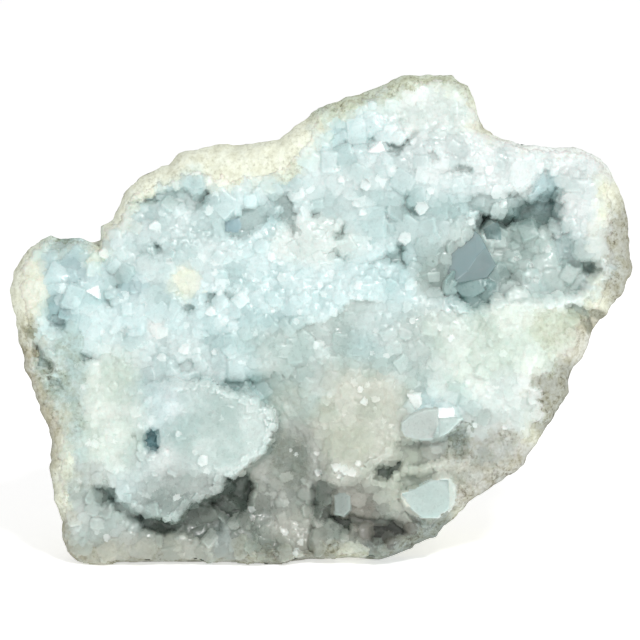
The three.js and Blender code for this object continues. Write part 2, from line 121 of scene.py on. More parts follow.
def whiter(tint: Array, share: Array) -> Array:
    """Return colours moved towards white by a share, less where they are dark."""
    light = np.clip(tint.mean(axis=-1, keepdims=True) * 1.3, 0.0, 1.0)**1.5
    return tint + (np.array(WHITE) - tint) * share * light


def mix(a: Array, b: Array, share: Array) -> Array:
    """Return a where share is 0 and b where it is 1."""
    return a + (b - a) * share


@dataclass(frozen=True)
class Ramp:
    """A smooth step between 0 and 1: the value at which it starts, and how wide it is."""

    start: float
    width: float

    def up(self, values: Array) -> Array:
        """Return 0 up to the start and 1 from a width after it on."""
        return ease((values - self.start) / self.width)

    def down(self, values: Array) -> Array:
        """Return 1 up to a width before the start and 0 from the start on."""
        return ease((self.start - values) / self.width)


def hashed(i: Array, j: Array, k: Array, seed: int) -> Array:
    """Give a repeatable number for every corner of a whole-number lattice.

    Args:
        i: First whole coordinate.
        j: Second whole coordinate.
        k: Third whole coordinate.
        seed: Picks one of many unrelated sets of numbers.

    Returns:
        Numbers from 0 to 1, in the shape of the coordinates.
    """
    word = (i * 374761393 + j * 668265263 + k * 1274126177 + seed * 974634777) & 0xFFFFFFFF
    word = ((word ^ (word >> 13)) * 1103515245) & 0xFFFFFFFF
    word = ((word ^ (word >> 15)) * 1540483477) & 0xFFFFFFFF
    return ((word ^ (word >> 16)) & 0xFFFFFF) / float(0xFFFFFF)


def smooth_noise(points: Array, size: float, seed: int) -> Array:
    """Give smooth noise over space.

    Args:
        points: Places, one in each row, in millimetres.
        size: Width of one lump, in millimetres.
        seed: Picks the pattern.

    Returns:
        Numbers from -1 to 1, one for each place.
    """
    scaled = points / size
    base = np.floor(scaled).astype(np.int64)
    part = ease(scaled - base)
    total = np.zeros(len(points))
    for step in itertools.product((0, 1), repeat=3):
        weight = np.ones(len(points))
        for axis in range(3):
            weight = weight * (part[:, axis] if step[axis] else 1.0 - part[:, axis])
        corner = base + np.array(step)
        total += weight * hashed(corner[:, 0], corner[:, 1], corner[:, 2], seed)
    return 2.0 * total - 1.0


def layered_noise(points: Array, size: float, layers: int, seed: int, gain: float = 0.5) -> Array:
    """Add up layers of smooth noise, each half as wide as the one before.

    Args:
        points: Places, one in each row, in millimetres.
        size: Width of the widest lumps.
        layers: How many layers there are.
        seed: Picks the pattern.
        gain: Strength of a layer as a share of the one before.

    Returns:
        Numbers mostly from -1 to 1, one for each place.
    """
    total = np.zeros(len(points))
    strength = 1.0
    for layer in range(layers):
        total += strength * smooth_noise(points, size / 2**layer, seed + 17 * layer)
        strength *= gain
    return total


@dataclass(frozen=True)
class Grain:
    """Layered noise over the face plane: the width of its lumps, its seed, its layers and its strength."""

    size: float
    seed: int
    layers: int = 1
    strength: float = 1.0

    def over(self, u: Array, v: Array) -> Array:
        """Return the noise at each place, in the shape of u and v."""
        places = np.stack([np.ravel(u), np.ravel(v), np.full(np.size(u), 0.5)], axis=1)
        return self.strength * layered_noise(places, self.size, self.layers, self.seed).reshape(np.shape(u))


def edge_distance(u: Array, v: Array, outline: Array) -> Array:
    """Measure how far places lie from a closed outline.

    Args:
        u: Places across.
        v: Places up.
        outline: Corners of the outline, one in each row.

    Returns:
        The distance to the outline, negative inside it.
    """
    nearest = np.full(np.shape(u), np.inf)
    inside = np.zeros(np.shape(u), bool)
    for (ax, ay), (bx, by) in zip(outline, np.roll(outline, -1, axis=0)):
        length = (bx - ax) ** 2 + (by - ay) ** 2
        along = np.clip(((u - ax) * (bx - ax) + (v - ay) * (by - ay)) / length, 0.0, 1.0)
        nearest = np.minimum(nearest, np.hypot(u - ax - along * (bx - ax), v - ay - along * (by - ay)))
        if ay != by:
            crosses = ((ay > v) != (by > v)) & (u < ax + (bx - ax) * (v - ay) / (by - ay))
            inside ^= crosses
    return np.where(inside, -nearest, nearest)


@dataclass(frozen=True)
class CellPattern:
    """Cells of uneven shape that fill the face plane, as crystals grown side by side do."""

    pitch: float
    seed: int
    scatter: float = 0.85

    def offsets(self, u: Array, v: Array) -> tuple[Array, Array]:
        """Find the cell of every place.

        Args:
            u: Places across.
            v: Places up.

        Returns:
            How far each place lies from the centre of its cell, across and up.
        """
        col = np.floor(u / self.pitch).astype(np.int64)
        row = np.floor(v / self.pitch).astype(np.int64)
        near = np.full(np.shape(u), np.inf)
        du, dv = np.zeros(np.shape(u)), np.zeros(np.shape(u))
        for dc, dr in itertools.product((-1, 0, 1), repeat=2):
            c, r = col + dc, row + dr
            cu = (c + 0.5 + self.scatter * (hashed(c, r, c * 0, self.seed) - 0.5)) * self.pitch
            cv = (r + 0.5 + self.scatter * (hashed(c, r, c * 0 + 1, self.seed) - 0.5)) * self.pitch
            away = np.hypot(u - cu, v - cv)
            closer = away < near
            near = np.where(closer, away, near)
            du, dv = np.where(closer, u - cu, du), np.where(closer, v - cv, dv)
        return du, dv


# ---- the face plane


@dataclass(frozen=True)
class FacePlane:
    """The plane of the open face: where it stands and how far it leans back."""

    lean: float = math.radians(10.0)
    setback: float = -36.43

    def to_world(self, places: Array) -> Array:
        """Turn rows of (u, v, w) in millimetres into rows of world metres."""
        u, v, w = np.moveaxis(np.asarray(places, float), -1, 0)
        sin, cos = math.sin(self.lean), math.cos(self.lean)
        return np.stack([u, self.setback - w * cos + v * sin, w * sin + v * cos], axis=-1) * MM

    def to_face(self, places: Array) -> Array:
        """Turn rows of world metres into rows of (u, v, w) in millimetres."""
        x, y, z = np.moveaxis(np.asarray(places, float) / MM, -1, 0)
        sin, cos = math.sin(self.lean), math.cos(self.lean)
        back = y - self.setback
        return np.stack([x, back * sin + z * cos, z * sin - back * cos], axis=-1)

    def turn(self) -> Matrix:
        """Return the rotation from face axes to world axes."""
        return Matrix.Rotation(math.radians(90.0) - self.lean, 3, "X")


PLANE = FacePlane()

# The widest outline of the stone, clockwise from the left, and how wide the bare rind shows at each corner.
OUTLINE = np.array([
    [-124, 111, 5], [-123, 118, 4], [-120.5, 123, 4], [-117, 127, 3], [-112.5, 131, 2], [-108, 133, 2],
    [-104.5, 131.5, 2], [-96, 132.5, 2], [-88.5, 128.5, 2], [-88, 136, 2], [-83, 139, 3], [-81, 145, 4],
    [-79, 150, 5], [-72, 156, 6], [-64.5, 159, 7], [-56.5, 165, 9], [-46.5, 168.5, 12], [-31.5, 169, 14],
    [-24, 169.5, 14], [-17, 171.5, 11], [-8.5, 177.5, 8], [-4, 182, 3], [2, 185, 3], [16, 189.5, 3],
    [31.5, 195.5, 3], [42.5, 197, 3], [52, 197, 3], [58.5, 192.5, 1.2], [60.5, 187, 1.2], [64, 175, 1.2],
    [71.5, 170.5, 1.2], [80, 168.5, 1.2], [97, 167.5, 1.2], [104.5, 167.5, 1.2], [112, 163, 1.2],
    [116, 157, 2.0], [120, 148, 4.5], [123, 137.5, 8.5], [123.5, 123, 9], [124, 116.5, 8],
    [119.5, 108.5, 6], [114, 101, 5], [108, 95, 5], [104, 84, 5], [99, 77, 8.5], [98, 69.5, 11.5],
    [91, 57.5, 5.5], [85, 49, 4.5], [80.5, 41, 5.5], [70.5, 33.5, 4.5], [62, 29, 4], [53, 19.5, 4],
    [48.5, 17, 4], [46, 12.5, 5], [33.5, 6.5, 4], [23.5, 3, 1], [12, 4, 1], [-4.5, 3, 1], [-22, 1, 1],
    [-37.5, 2, 1], [-54, 2, 1], [-69.5, 2, 1], [-81.5, 2, 1], [-87, 0, 1], [-97.5, 2, 1], [-102, 6, 1],
    [-103.5, 11.5, 1], [-103, 19, 2], [-106.5, 26.5, 4], [-108, 37, 4], [-108, 49, 4], [-108.5, 56, 4],
    [-112.5, 63, 4], [-118, 79, 4], [-121.5, 93, 4],
])
# How far the front rounds off towards the outline.
RIM_ROUND = 8.0


@dataclass(frozen=True)
class Patch:
    """A part of the face: its middle, and how far it reaches across and up."""

    centre: Pair
    reach: Pair

    def away(self, u: Array, v: Array) -> Array:
        """Return how far places lie from the middle, as a share of the reach."""
        return np.hypot((u - self.centre[0]) / self.reach[0], (v - self.centre[1]) / self.reach[1])


@dataclass(frozen=True)
class Swell(Patch):
    """A broad rise or fall of the face, with no edge."""

    rise: float


@dataclass(frozen=True)
class Form:
    """A ledge (rise over 0) or a hollow (rise under 0) with a clear edge.

    shade is painted shade: it darkens the colour of what lies inside it. fade is the way from a place where
    the form is whole to one where nothing is left of it.
    """

    rise: float
    slope: float
    shade: float
    outline: tuple[Pair, ...]
    fade: tuple[Pair, Pair] | None = None

    def faded(self, u: Array, v: Array) -> Array | float:
        """Return the share of the rise that is left at each place."""
        if self.fade is None:
            return 1.0
        (au, av), (bu, bv) = self.fade
        return 1.0 - ease(((u - au) * (bu - au) + (v - av) * (bv - av)) / ((bu - au) ** 2 + (bv - av) ** 2))


SWELLS = {
    "middle_shelf": Swell((-12, 92), (90, 40), 5),
    "plate_back": Swell((-62, 60), (44, 36), 6),
    "left_lobe": Swell((-104, 108), (26, 26), 5),
    "round_lump": Swell((-21, 127), (11, 10), 2.5),
    "upper_lump": Swell((-2, 130), (10, 12), 2),
    "pocket_brow": Swell((44, 135), (10, 8), 2),
    "white_brow": Swell((66, 150), (14, 9), 2),
    "centre_lump": Swell((14, 112), (16, 10), 1.5),
    "upper_boss": Swell((52, 160), (70, 26), 7),
    "upper_shoulder": Swell((-60, 128), (40, 26), 3),
    "right_slope": Swell((80, 84), (34, 40), 5),
    "right_wall": Swell((108, 146), (20, 26), 6),
    "cream_mass": Swell((14, 56), (30, 28), 6),
    "lower_hollow": Swell((-16, 22), (56, 26), -7),
    "lower_right": Swell((36, 24), (34, 20), -3),
}

# A form's shade is painted shade that darkens the colour in its hollow or cleft; 1 leaves the colour as it
# is.
FORMS = {
    "right_pocket": Form(-8, 2.4, 1, (
        (61.5, 137.5), (62, 140.5), (66, 141), (69, 139.8), (76, 141.2), (78.5, 145), (84, 146), (88, 149),
        (93.5, 151), (95.5, 146), (96.5, 138), (99, 131), (103, 125), (110, 121.8), (110.5, 118),
        (106, 114.5), (102, 109.5), (92, 107.5), (80, 107), (69, 108.5), (66, 104.3), (61, 103.3),
        (57, 105), (54, 107.5), (54, 112), (54, 121), (55.5, 127), (59, 131.2))),
    "giant_seat": Form(-5, 1.5, 0.6, (
        (56, 115), (57, 126), (60, 131), (63, 131), (67, 121), (65, 117), (60, 115))),
    "foot_fill": Form(3.4, 2.4, 1, (
        (50, 113), (54, 118), (63, 118), (69, 113), (69, 106), (64, 103), (57, 103.5), (51, 106))),
    "pocket_roof": Form(-2.4, 1.6, 0.5, (
        (77.2, 140.8), (79.3, 145.6), (83.5, 145.6), (88, 148.2), (92, 149), (93.4, 145), (93, 140),
        (92, 136), (89.5, 134.8), (84, 136.4), (78.5, 137), (76.4, 138.6))),
    "slot": Form(-4.5, 0.9, 0.16, (
        (61.6, 139.6), (64.6, 141), (68, 139.8), (67.2, 135.8), (64.4, 134.8), (62, 136.8))),
    "slot_right": Form(-4, 0.9, 0.3, (
        (67, 139.6), (70, 140), (74, 140.8), (77.4, 139), (73.6, 135.6), (70, 136.4))),
    "pocket_corner": Form(-2.5, 2.2, 1, (
        (82, 148), (84, 153), (86, 157.4), (89.6, 158), (90.6, 154), (94.5, 151.5), (96, 146), (90, 146),
        (85, 147))),
    "roof_lip": Form(-2, 1.6, 0.76, (
        (57, 146.5), (60, 148.5), (66, 148.8), (72, 149), (80, 149.5), (84, 153), (84, 148), (79, 146),
        (77, 142.6), (70, 141), (66, 142), (62, 141.6), (59, 143))),
    "left_recess": Form(-4, 6.0, 0.8, (
        (18.7, 121.8), (22.2, 124.2), (29.3, 125.6), (31, 129), (36, 126), (41, 127), (46, 128.5),
        (54, 130), (56, 121), (56, 112), (55, 107), (45.8, 107.8), (41, 111), (38.7, 114.8), (32.8, 119.5),
        (26.9, 120.7)), ((50, 116), (24, 128))),
    "foot_left": Form(-0.4, 1.4, 0.95, (
        (50.5, 111.5), (53.5, 113.2), (57, 110), (58.5, 107), (56, 105), (52, 106.2))),
    "foot_right": Form(-1.0, 1.4, 0.84, (
        (62, 108.5), (66, 112.6), (68.7, 108), (65.6, 104.3), (62.3, 105.4))),
    "floor_cleft": Form(-2.4, 1.3, 0.52, (
        (72.4, 119.6), (75.6, 118.4), (79.2, 113.6), (79.5, 111), (76.5, 114.6), (72.8, 115.8))),
    "slit_right": Form(-1.6, 1.3, 0.77, (
        (101, 122.5), (105.5, 121.4), (109.9, 121.6), (110.5, 118.8), (105.5, 117.6), (103, 120))),
    "wall_edge": Form(-1.6, 1.4, 0.73, (
        (90, 136.5), (93.4, 133.6), (96.2, 128), (99.5, 120), (97, 119.6), (94, 126.6), (91, 132))),
    "rim_trench": Form(-2.6, 1.3, 0.8, (
        (-77, 144.5), (-70, 147.3), (-62, 150.2), (-55, 150.8), (-50, 148), (-46.8, 150.7), (-44.8, 149.8),
        (-45.8, 145.8), (-51, 142.2), (-57, 143.6), (-60, 146.3), (-68, 145.3))),
    "trench_end": Form(-2.4, 1.3, 0.56, ((-50.5, 146), (-45.2, 149.9), (-45.6, 146), (-50, 143.4))),
    "blue_trench": Form(-2.8, 1.5, 0.85, (
        (-39.6, 136), (-36, 139.4), (-32.8, 140.6), (-31.5, 144.8), (-27, 143.2), (-23, 148), (-19, 148.4),
        (-18, 143), (-22, 138), (-27, 134.3), (-31, 130), (-34, 130.6), (-38, 132.2))),
    "dark_trench": Form(-2.4, 1.4, 0.58, (
        (-18.6, 148), (-12, 149.2), (-12.2, 143.6), (-10, 140.6), (-10.2, 136), (-12, 132.2),
        (-14.2, 136.6), (-18.9, 139.2), (-16.4, 142.4), (-17.4, 145.4))),
    "top_notch": Form(-3.6, 1.3, 0.7, (
        (24.3, 168.7), (28, 169.2), (32, 168.8), (37, 174.2), (38.4, 173.8), (34.2, 168.4), (31, 165.5),
        (29, 163.2), (25.8, 165))),
    "top_arc": Form(-2.2, 1.2, 0.82, (
        (3.2, 165.2), (8.5, 169.6), (14, 171.2), (20, 172.5), (21.5, 170.3), (19.3, 167.2), (12, 168.4),
        (7.6, 166.6))),
    "white_crack_a": Form(-2.2, 1.2, 0.8, (
        (46.8, 158.6), (50, 157.6), (53.5, 160), (59.6, 159), (59.2, 157), (52.5, 157.6), (48, 156.6))),
    "white_crack_b": Form(-2.4, 1.2, 0.7, ((58.6, 147.6), (61.6, 146.8), (60.2, 145.2))),
    "white_crack_c": Form(-2.4, 1.2, 0.7, (
        (72, 150), (76, 149.8), (79, 147.6), (77.5, 146.6), (74, 147.6))),
    "white_crack_d": Form(-1.6, 1.2, 0.8, (
        (40.5, 164.8), (44.5, 166), (46.5, 163), (43.6, 160.6), (42.6, 163))),
    "black_hole": Form(-4, 0.9, 0.45, ((-4.8, 141.2), (-1.4, 142.2), (-0.8, 139.4), (-3.6, 139))),
    "hook_cleft": Form(-2.6, 1.3, 0.68, (
        (5.3, 133.8), (7.5, 134), (9, 137.4), (10.4, 136.2), (8.6, 130.6), (5.3, 131))),
    "flat_cleft": Form(-2.8, 1.3, 0.75, ((0.6, 124.6), (5, 127), (9.2, 125.4), (9.2, 123.2), (4, 123))),
    "middle_cleft": Form(-3, 1.7, 0.62, (
        (18.6, 121.5), (25, 124.7), (29, 125.8), (29.8, 129.2), (32.7, 128.8), (33.3, 123), (33.7, 119.6),
        (30, 121.4), (24, 122.4))),
    "upper_cleft": Form(-2.8, 1.4, 0.73, (
        (31.8, 147.4), (34.2, 147.8), (33.8, 144.2), (37.2, 143.2), (38.2, 140.6), (32.4, 141.2))),
    "left_hole": Form(-4, 1.3, 0.6, ((-67.5, 128), (-64.5, 129), (-62.8, 125.8), (-65.4, 124.9))),
    "left_pit": Form(-2.8, 1.5, 0.64, ((-85, 117.6), (-81, 118.6), (-78.6, 115), (-79, 112), (-83, 111.6))),
    "lobe_pocket": Form(-2.4, 1.4, 0.97, (
        (-109.3, 110), (-101.5, 110.2), (-99.7, 104), (-100.5, 97.2), (-105, 94), (-109.3, 97))),
    "lobe_cleft": Form(-1.6, 1.4, 0.8, (
        (-108.8, 99.6), (-105, 102.4), (-101.2, 99.6), (-104, 96), (-108, 97.4))),
    "lobe_top": Form(-2.0, 1.5, 0.8, (
        (-109, 129.4), (-101, 132.5), (-99, 131), (-103, 125.8), (-107.3, 125))),
    "lobe_seam": Form(-1.6, 2.5, 0.97, (
        (-89, 129), (-86, 122), (-84.5, 112), (-86, 103), (-88, 105), (-88.5, 116))),
    "lobe_nick": Form(-2.0, 1.4, 0.75, ((-86, 108.6), (-83.2, 108), (-83.4, 103.4), (-85.6, 104))),
    "left_nick": Form(-2.0, 1.3, 0.75, ((-81, 94.6), (-77, 94.8), (-78.6, 90.8), (-80.6, 91.8))),
    "small_ledge_a": Form(-2.4, 1.4, 0.75, ((-46.4, 109.2), (-41.4, 110.2), (-41.8, 106), (-45.8, 104.8))),
    "small_ledge_b": Form(-2.4, 1.4, 0.75, ((-39.4, 110.4), (-33, 107.8), (-36, 106.4), (-39.2, 107.6))),
    "small_ledge_c": Form(-2.0, 1.4, 0.75, (
        (-55.5, 104.8), (-50.8, 105.4), (-50.8, 101.8), (-54.4, 101.6))),
    "small_ledge_d": Form(-2.5, 1.2, 0.88, ((-57.5, 82), (-51, 83), (-48.5, 80), (-54, 78), (-57, 78.6))),
    "left_crack_a": Form(-3.5, 1.2, 0.62, (
        (-115, 89.4), (-112.5, 88.4), (-110, 84.4), (-106.6, 82.2), (-107, 78.4), (-110.5, 77.4),
        (-113.8, 80))),
    "left_crack_b": Form(-2.4, 1.4, 0.61, ((-96.2, 85.2), (-91, 86.2), (-89.8, 83.4), (-95, 82.2))),
    "left_crack_c": Form(-2.0, 1.4, 0.75, ((-109, 76), (-104, 75), (-103, 71.5), (-107, 70.5))),
    "middle_step": Form(-1.9, 1.5, 1, (
        (-11, 95), (1, 98.6), (8, 103), (11, 106.2), (22, 106.4), (31, 105.2), (36, 96), (30, 84), (12, 80),
        (6, 84), (3, 87), (-2, 90), (-6, 93.8)), ((6, 99), (24, 86))),
    "plate": Form(9, 0.9, 1, (
        (-100, 72), (-80, 73), (-60, 74), (-45, 75), (-39.5, 72.3), (-34, 70.6), (-30, 70.3), (-27.5, 68),
        (-24.5, 65), (-20, 63.6), (-18.8, 59), (-18.3, 56.5), (-20, 55), (-19.8, 51), (-21.3, 49.3),
        (-21.6, 46), (-25, 44.8), (-26.2, 43.3), (-30.2, 40), (-36.3, 36.4), (-38.3, 36.6), (-38.2, 33),
        (-39.5, 30.8), (-43, 28.9), (-45.6, 29.6), (-46.8, 27.6), (-49.6, 27.1), (-50.6, 25.2), (-54, 23.2),
        (-56, 21.5), (-56.2, 19.6), (-59.5, 18.6), (-62.5, 19.8), (-63.2, 20.8), (-66.5, 20.6), (-69.5, 22),
        (-73, 22.3), (-76, 24), (-80, 26), (-83, 29.5), (-88, 33.5), (-100, 40),
        (-108, 60)), ((-40, 46), (-88, 66))),
    "under_plate": Form(-5, 1.2, 0.32, (
        (-38.7, 37), (-36, 36.2), (-30, 37.4), (-27.4, 34), (-28.5, 29), (-31, 21), (-34, 19), (-38, 18.5),
        (-40, 22), (-45, 26), (-42, 28.5), (-39.5, 31))),
    "under_side": Form(-1.5, 3.0, 0.78, (
        (-29, 38), (-24, 34), (-17, 30), (-19, 22), (-28, 20), (-33, 14), (-32, 24))),
    "under_band": Form(-3.2, 1.6, 0.62, (
        (-74, 22.4), (-70, 22), (-63, 21), (-60, 19.8), (-56.5, 20.5), (-54, 23.5), (-50.5, 26.5),
        (-45, 27), (-40, 22), (-40, 14), (-48, 12), (-56, 14), (-66, 13.8), (-72, 15.5))),
    "cave_link": Form(-2.4, 1.8, 0.72, (
        (-84, 28), (-80, 27), (-74, 24), (-70, 21.5), (-73, 17.5), (-78, 20), (-83, 23.5))),
    "plate_gap": Form(-2.4, 1.4, 0.7, (
        (-40.5, 72.3), (-38, 75.6), (-34, 76.2), (-28, 74.2), (-26.3, 71.6), (-30, 70.2), (-34, 70.4))),
    "plate_hole": Form(-4.5, 0.9, 1, (
        (-70.8, 51), (-69.5, 54), (-67.4, 56.4), (-64.4, 55.4), (-63.8, 50), (-64.8, 46.6), (-69, 46.6))),
    "hole_dent": Form(-1.2, 1.6, 0.82, ((-76, 53.4), (-71, 54.6), (-70, 51), (-73, 50.4))),
    "cave": Form(-3.6, 1.4, 0.42, (
        (-92, 32.6), (-88, 33.2), (-85, 32.4), (-82, 32.2), (-81.6, 27.6), (-84.6, 26), (-86, 24),
        (-89.4, 25.4), (-90.6, 29.5))),
    "valley": Form(-6, 1.4, 1, (
        (-30, 76), (-26, 70), (-24, 66), (-19.5, 64), (-18, 57), (-19, 51), (-20.5, 48), (-24, 44),
        (-29, 39.5), (-36, 36), (-38, 30), (-30, 22), (-26, 6), (-4, 6), (-3, 20), (2, 34), (4, 46),
        (4, 60), (0, 72), (-14, 78)), ((-18, 46), (4, 60))),
    "mass_lip": Form(4, 1.2, 1, (
        (0.5, 36), (3, 34.4), (8, 33.3), (12, 34.8), (18, 38), (21.5, 41.4), (27, 44.5), (31, 50), (28, 62),
        (14, 60), (4, 52), (0.5, 44)), ((14, 36), (9, 56))),
    "recess": Form(-3.4, 1.4, 0.62, (
        (-3, 33.9), (3, 33.9), (6, 31.4), (4.9, 28), (5, 24.5), (5, 20.5), (2, 18.5), (-1.5, 19), (-4, 22),
        (-4.3, 29))),
    "deep_pit_a": Form(-3, 1.2, 0.3, ((3.8, 22), (8, 21), (11.5, 18.6), (10.8, 14.6), (6.2, 15.2))),
    "deep_pit_b": Form(-3.4, 1.2, 0.28, (
        (19.6, 15.4), (25, 16.4), (28, 19.2), (31.4, 18), (33.2, 14), (28.5, 12.6), (24.5, 10.2), (21, 9.6),
        (19.4, 12.5))),
    "low_band": Form(-2.6, 1.4, 0.66, (
        (10, 21.6), (14, 21), (20, 19.8), (27, 19.2), (22, 15.8), (14, 17.2), (10.5, 18))),
    "twin_hole_a": Form(-4, 0.6, 0.26, ((25.8, 40), (27, 42), (31, 42.2), (30.8, 38), (28, 37.4))),
    "twin_hole_b": Form(-4, 0.6, 0.26, (
        (20.6, 35.4), (21.8, 37.5), (21.4, 40.2), (24.4, 41.6), (25.1, 39.6), (26.2, 38.6), (27.6, 37),
        (25.4, 34.6), (22.6, 34.7))),
    "clear_slab": Form(2.6, 1.2, 1, (
        (31.3, 56), (34.5, 60.3), (41, 63.3), (46.3, 64.1), (53, 64.1), (56, 60), (50.5, 54), (46.3, 51.8),
        (41, 51.1), (34, 50.7), (31.7, 53))),
    "slab_foot": Form(-2.6, 1.6, 0.82, ((29, 50), (46, 51), (50, 53), (50, 44), (40, 40), (31, 41.5))),
    "brown_patch": Form(-2.5, 1.4, 0.95, (
        (50.3, 54.4), (57, 54.8), (58.4, 50), (57.4, 44.3), (53, 43.6), (51, 48))),
    "pale_blade": Form(3.6, 1.2, 1, (
        (31, 29.5), (37, 31.6), (43.5, 35), (46, 36.3), (51.3, 36.3), (53.4, 33), (53.4, 27), (50.3, 22),
        (46.5, 19.7), (40, 19.7), (36, 22.8), (32.6, 26))),
    "blade_foot": Form(-2, 1.4, 0.8, (
        (30, 36), (38, 37.5), (45, 39.5), (45.5, 36), (43, 34.2), (37, 31), (31.5, 30))),
    "lip_crease": Form(-2.2, 1.2, 0.66, (
        (96.8, 104.6), (100, 105.2), (106, 103.4), (112, 102), (115, 98.4), (113.6, 97.2), (110.6, 99.6),
        (105.6, 101), (108, 95), (106, 93.6), (102.4, 99.6), (98.5, 101.8))),
}


# The slope across and up of a crystal face that throws the key light at the one who looks.
GLINT = (-0.157, -0.330)


@dataclass(frozen=True)
class BigFace:
    """A broad flat crystal face that can be told apart.

    lift is how far it stands over the clusters, lean its slopes across and up, and tint its colour. A face
    without a tint keeps the colour of its neighbours, whitened by the share pale.
    """

    outline: tuple[Pair, ...]
    lift: float = 0.8
    lean: Pair = (0.0, 0.0)
    tint: Tone | None = None
    pale: float = 0.0


BIG_FACES = {
    "slab": BigFace((
        (32, 58), (35, 60.6), (41, 63), (45.8, 63.3), (46.2, 57), (44, 52), (38, 51.4), (33, 52.5),
        (31.6, 55)), 0.7, (-0.06, 0.14), Tone.ASH),
    # The glint faces lean to throw the key light at the one who looks and are also painted near white: a
    # painted highlight.
    "slab_glint": BigFace(((46.3, 63.6), (52.6, 63.6), (52.8, 60.2), (46.4, 60.1)), 1.4, GLINT, Tone.SNOW),
    "slab_ridge": BigFace((
        (46.6, 59.8), (52.6, 59.8), (55.6, 59.6), (50, 54), (46.6, 52.2)), 0.6, (0.16, -0.1), Tone.HAZE),
    "slab_white": BigFace((
        (34, 69), (39, 69.3), (39.6, 65.2), (37.4, 62.8), (35.6, 65.5)), 0.9, (0.12, 0.1), Tone.MILK),
    "blade": BigFace((
        (31.6, 29.5), (37, 31.4), (43.5, 34.8), (50.5, 35.6), (50.4, 24), (46.3, 20.4), (40, 20.4),
        (36, 23.4)), 0.9, (0.08, -0.06), Tone.HAZE),
    "blade_edge": BigFace(((50.6, 35.8), (52.8, 33), (53, 27), (50.6, 23)), 1.0, (-0.25, 0.1), Tone.SAGE),
    # Painted highlight: these glint faces are painted near white as well as leaning to throw the key light.
    "lobe_glint": BigFace(((-93.8, 110.2), (-88.8, 112.4), (-88.4, 107.4)), 1.2, GLINT, Tone.SNOW),
    "top_glint": BigFace(((18.6, 165.4), (23.4, 169.6), (25.4, 165.2)), 1.2, GLINT, Tone.SNOW),
    "trench_face": BigFace((
        (-38.5, 137.6), (-33, 139.4), (-32, 136), (-33.4, 133.4), (-38.6, 133.8)),
        0.35, (0.1, 0.05), Tone.BLUE),
    "roof_face": BigFace((
        (64.4, 135.6), (70.3, 138), (71.6, 135), (71.8, 130.6), (66, 131.2)), 0.9, (0.15, 0.1), Tone.SEA),
    "foot_crystal": BigFace((
        (53, 112), (55.6, 115.6), (60, 117), (64.6, 115), (64.8, 110.4), (60.5, 108), (56, 108.4)),
        0.5, (0.05, -0.03), Tone.SEA),
    "round_block": BigFace((
        (5.2, 28.6), (8, 30.2), (11.2, 28.4), (11.3, 23.2), (8.8, 20.6), (5.6, 21.6)),
        1.5, (0.1, 0.0), Tone.SLATE),
}


# Crystals that stand out pale among their neighbours, partly milky crystals and partly painted highlights
# where crystals glint: place across, place up and width.
PALE_AND_GLINT_CRYSTALS = (
    (-66, 136, 5.2), (-44, 102, 4.4), (-54.5, 87, 4.8), (-63.5, 83.5, 3.8), (-10.2, 98.2, 2.8),
    (39.8, 143.2, 5.2), (33, 131.6, 5.2), (16.4, 141.6, 3.4), (17.8, 152.6, 4.6), (-44.6, 142.2, 4),
    (-42.4, 117.6, 2.8), (-16, 115.6, 4.2), (0.6, 109, 3), (13.6, 145, 3.4), (-42.4, 86, 3.2),
    (-60.4, 122, 3.2), (-86.6, 125, 4.6), (-39, 98, 2.8), (-19.6, 102.6, 2.6), (6.2, 158.8, 2.6),
    (8, 154.6, 3), (-28.2, 22.6, 3.2), (-27.8, 19.4, 2.4), (-10.4, 45, 2), (-12.4, 46.6, 1.5),
    (-2, 45.6, 2.4), (-1.2, 38, 3.2), (-15, 13.6, 3.6), (-8.6, 9.4, 3.4), (-10.6, 5.6, 2.8),
    (5.6, 40.4, 3.6), (8.8, 39.6, 4.4), (11.8, 38.4, 3.6), (7.4, 37.2, 3.2), (14.4, 41.8, 2.6),
    (15.2, 71, 3), (16.6, 66.4, 3.4), (59.6, 138, 3.6), (90.5, 127, 3.2), (83.4, 120.4, 2.6),
    (85.4, 115, 3), (78, 123.2, 2.6), (36, 98.4, 2.4), (47, 95.6, 2.6), (51, 91.4, 3),
    (25.6, 84.6, 2.6), (19.8, 85.6, 2), (-85.6, 12, 3.6), (-47, 43, 5), (-56.4, 53.8, 2.6),
    (-57.6, 28.6, 3), (58, 74, 2.4), (73, 56, 2.6), (61, 57, 2.4), (-72, 57, 2.4), (43, 150, 3.6),
    (28, 158, 3), (66, 158, 4), (72, 145, 4.4), (-20, 124, 4),
)


@dataclass(frozen=True)
class Zone(Patch):
    """A part of the face with its own colour and way of growing.

    tint is the colour, size the mean width of its crystals, ruffle how far their clusters stand out, and
    stony how much rock grain is among them, from 0 to 1. within names the form it is kept to, if any.
    """

    tint: Tone
    size: float = 2.4
    ruffle: float = 1.0
    stony: float = 0.0
    within: str = ""


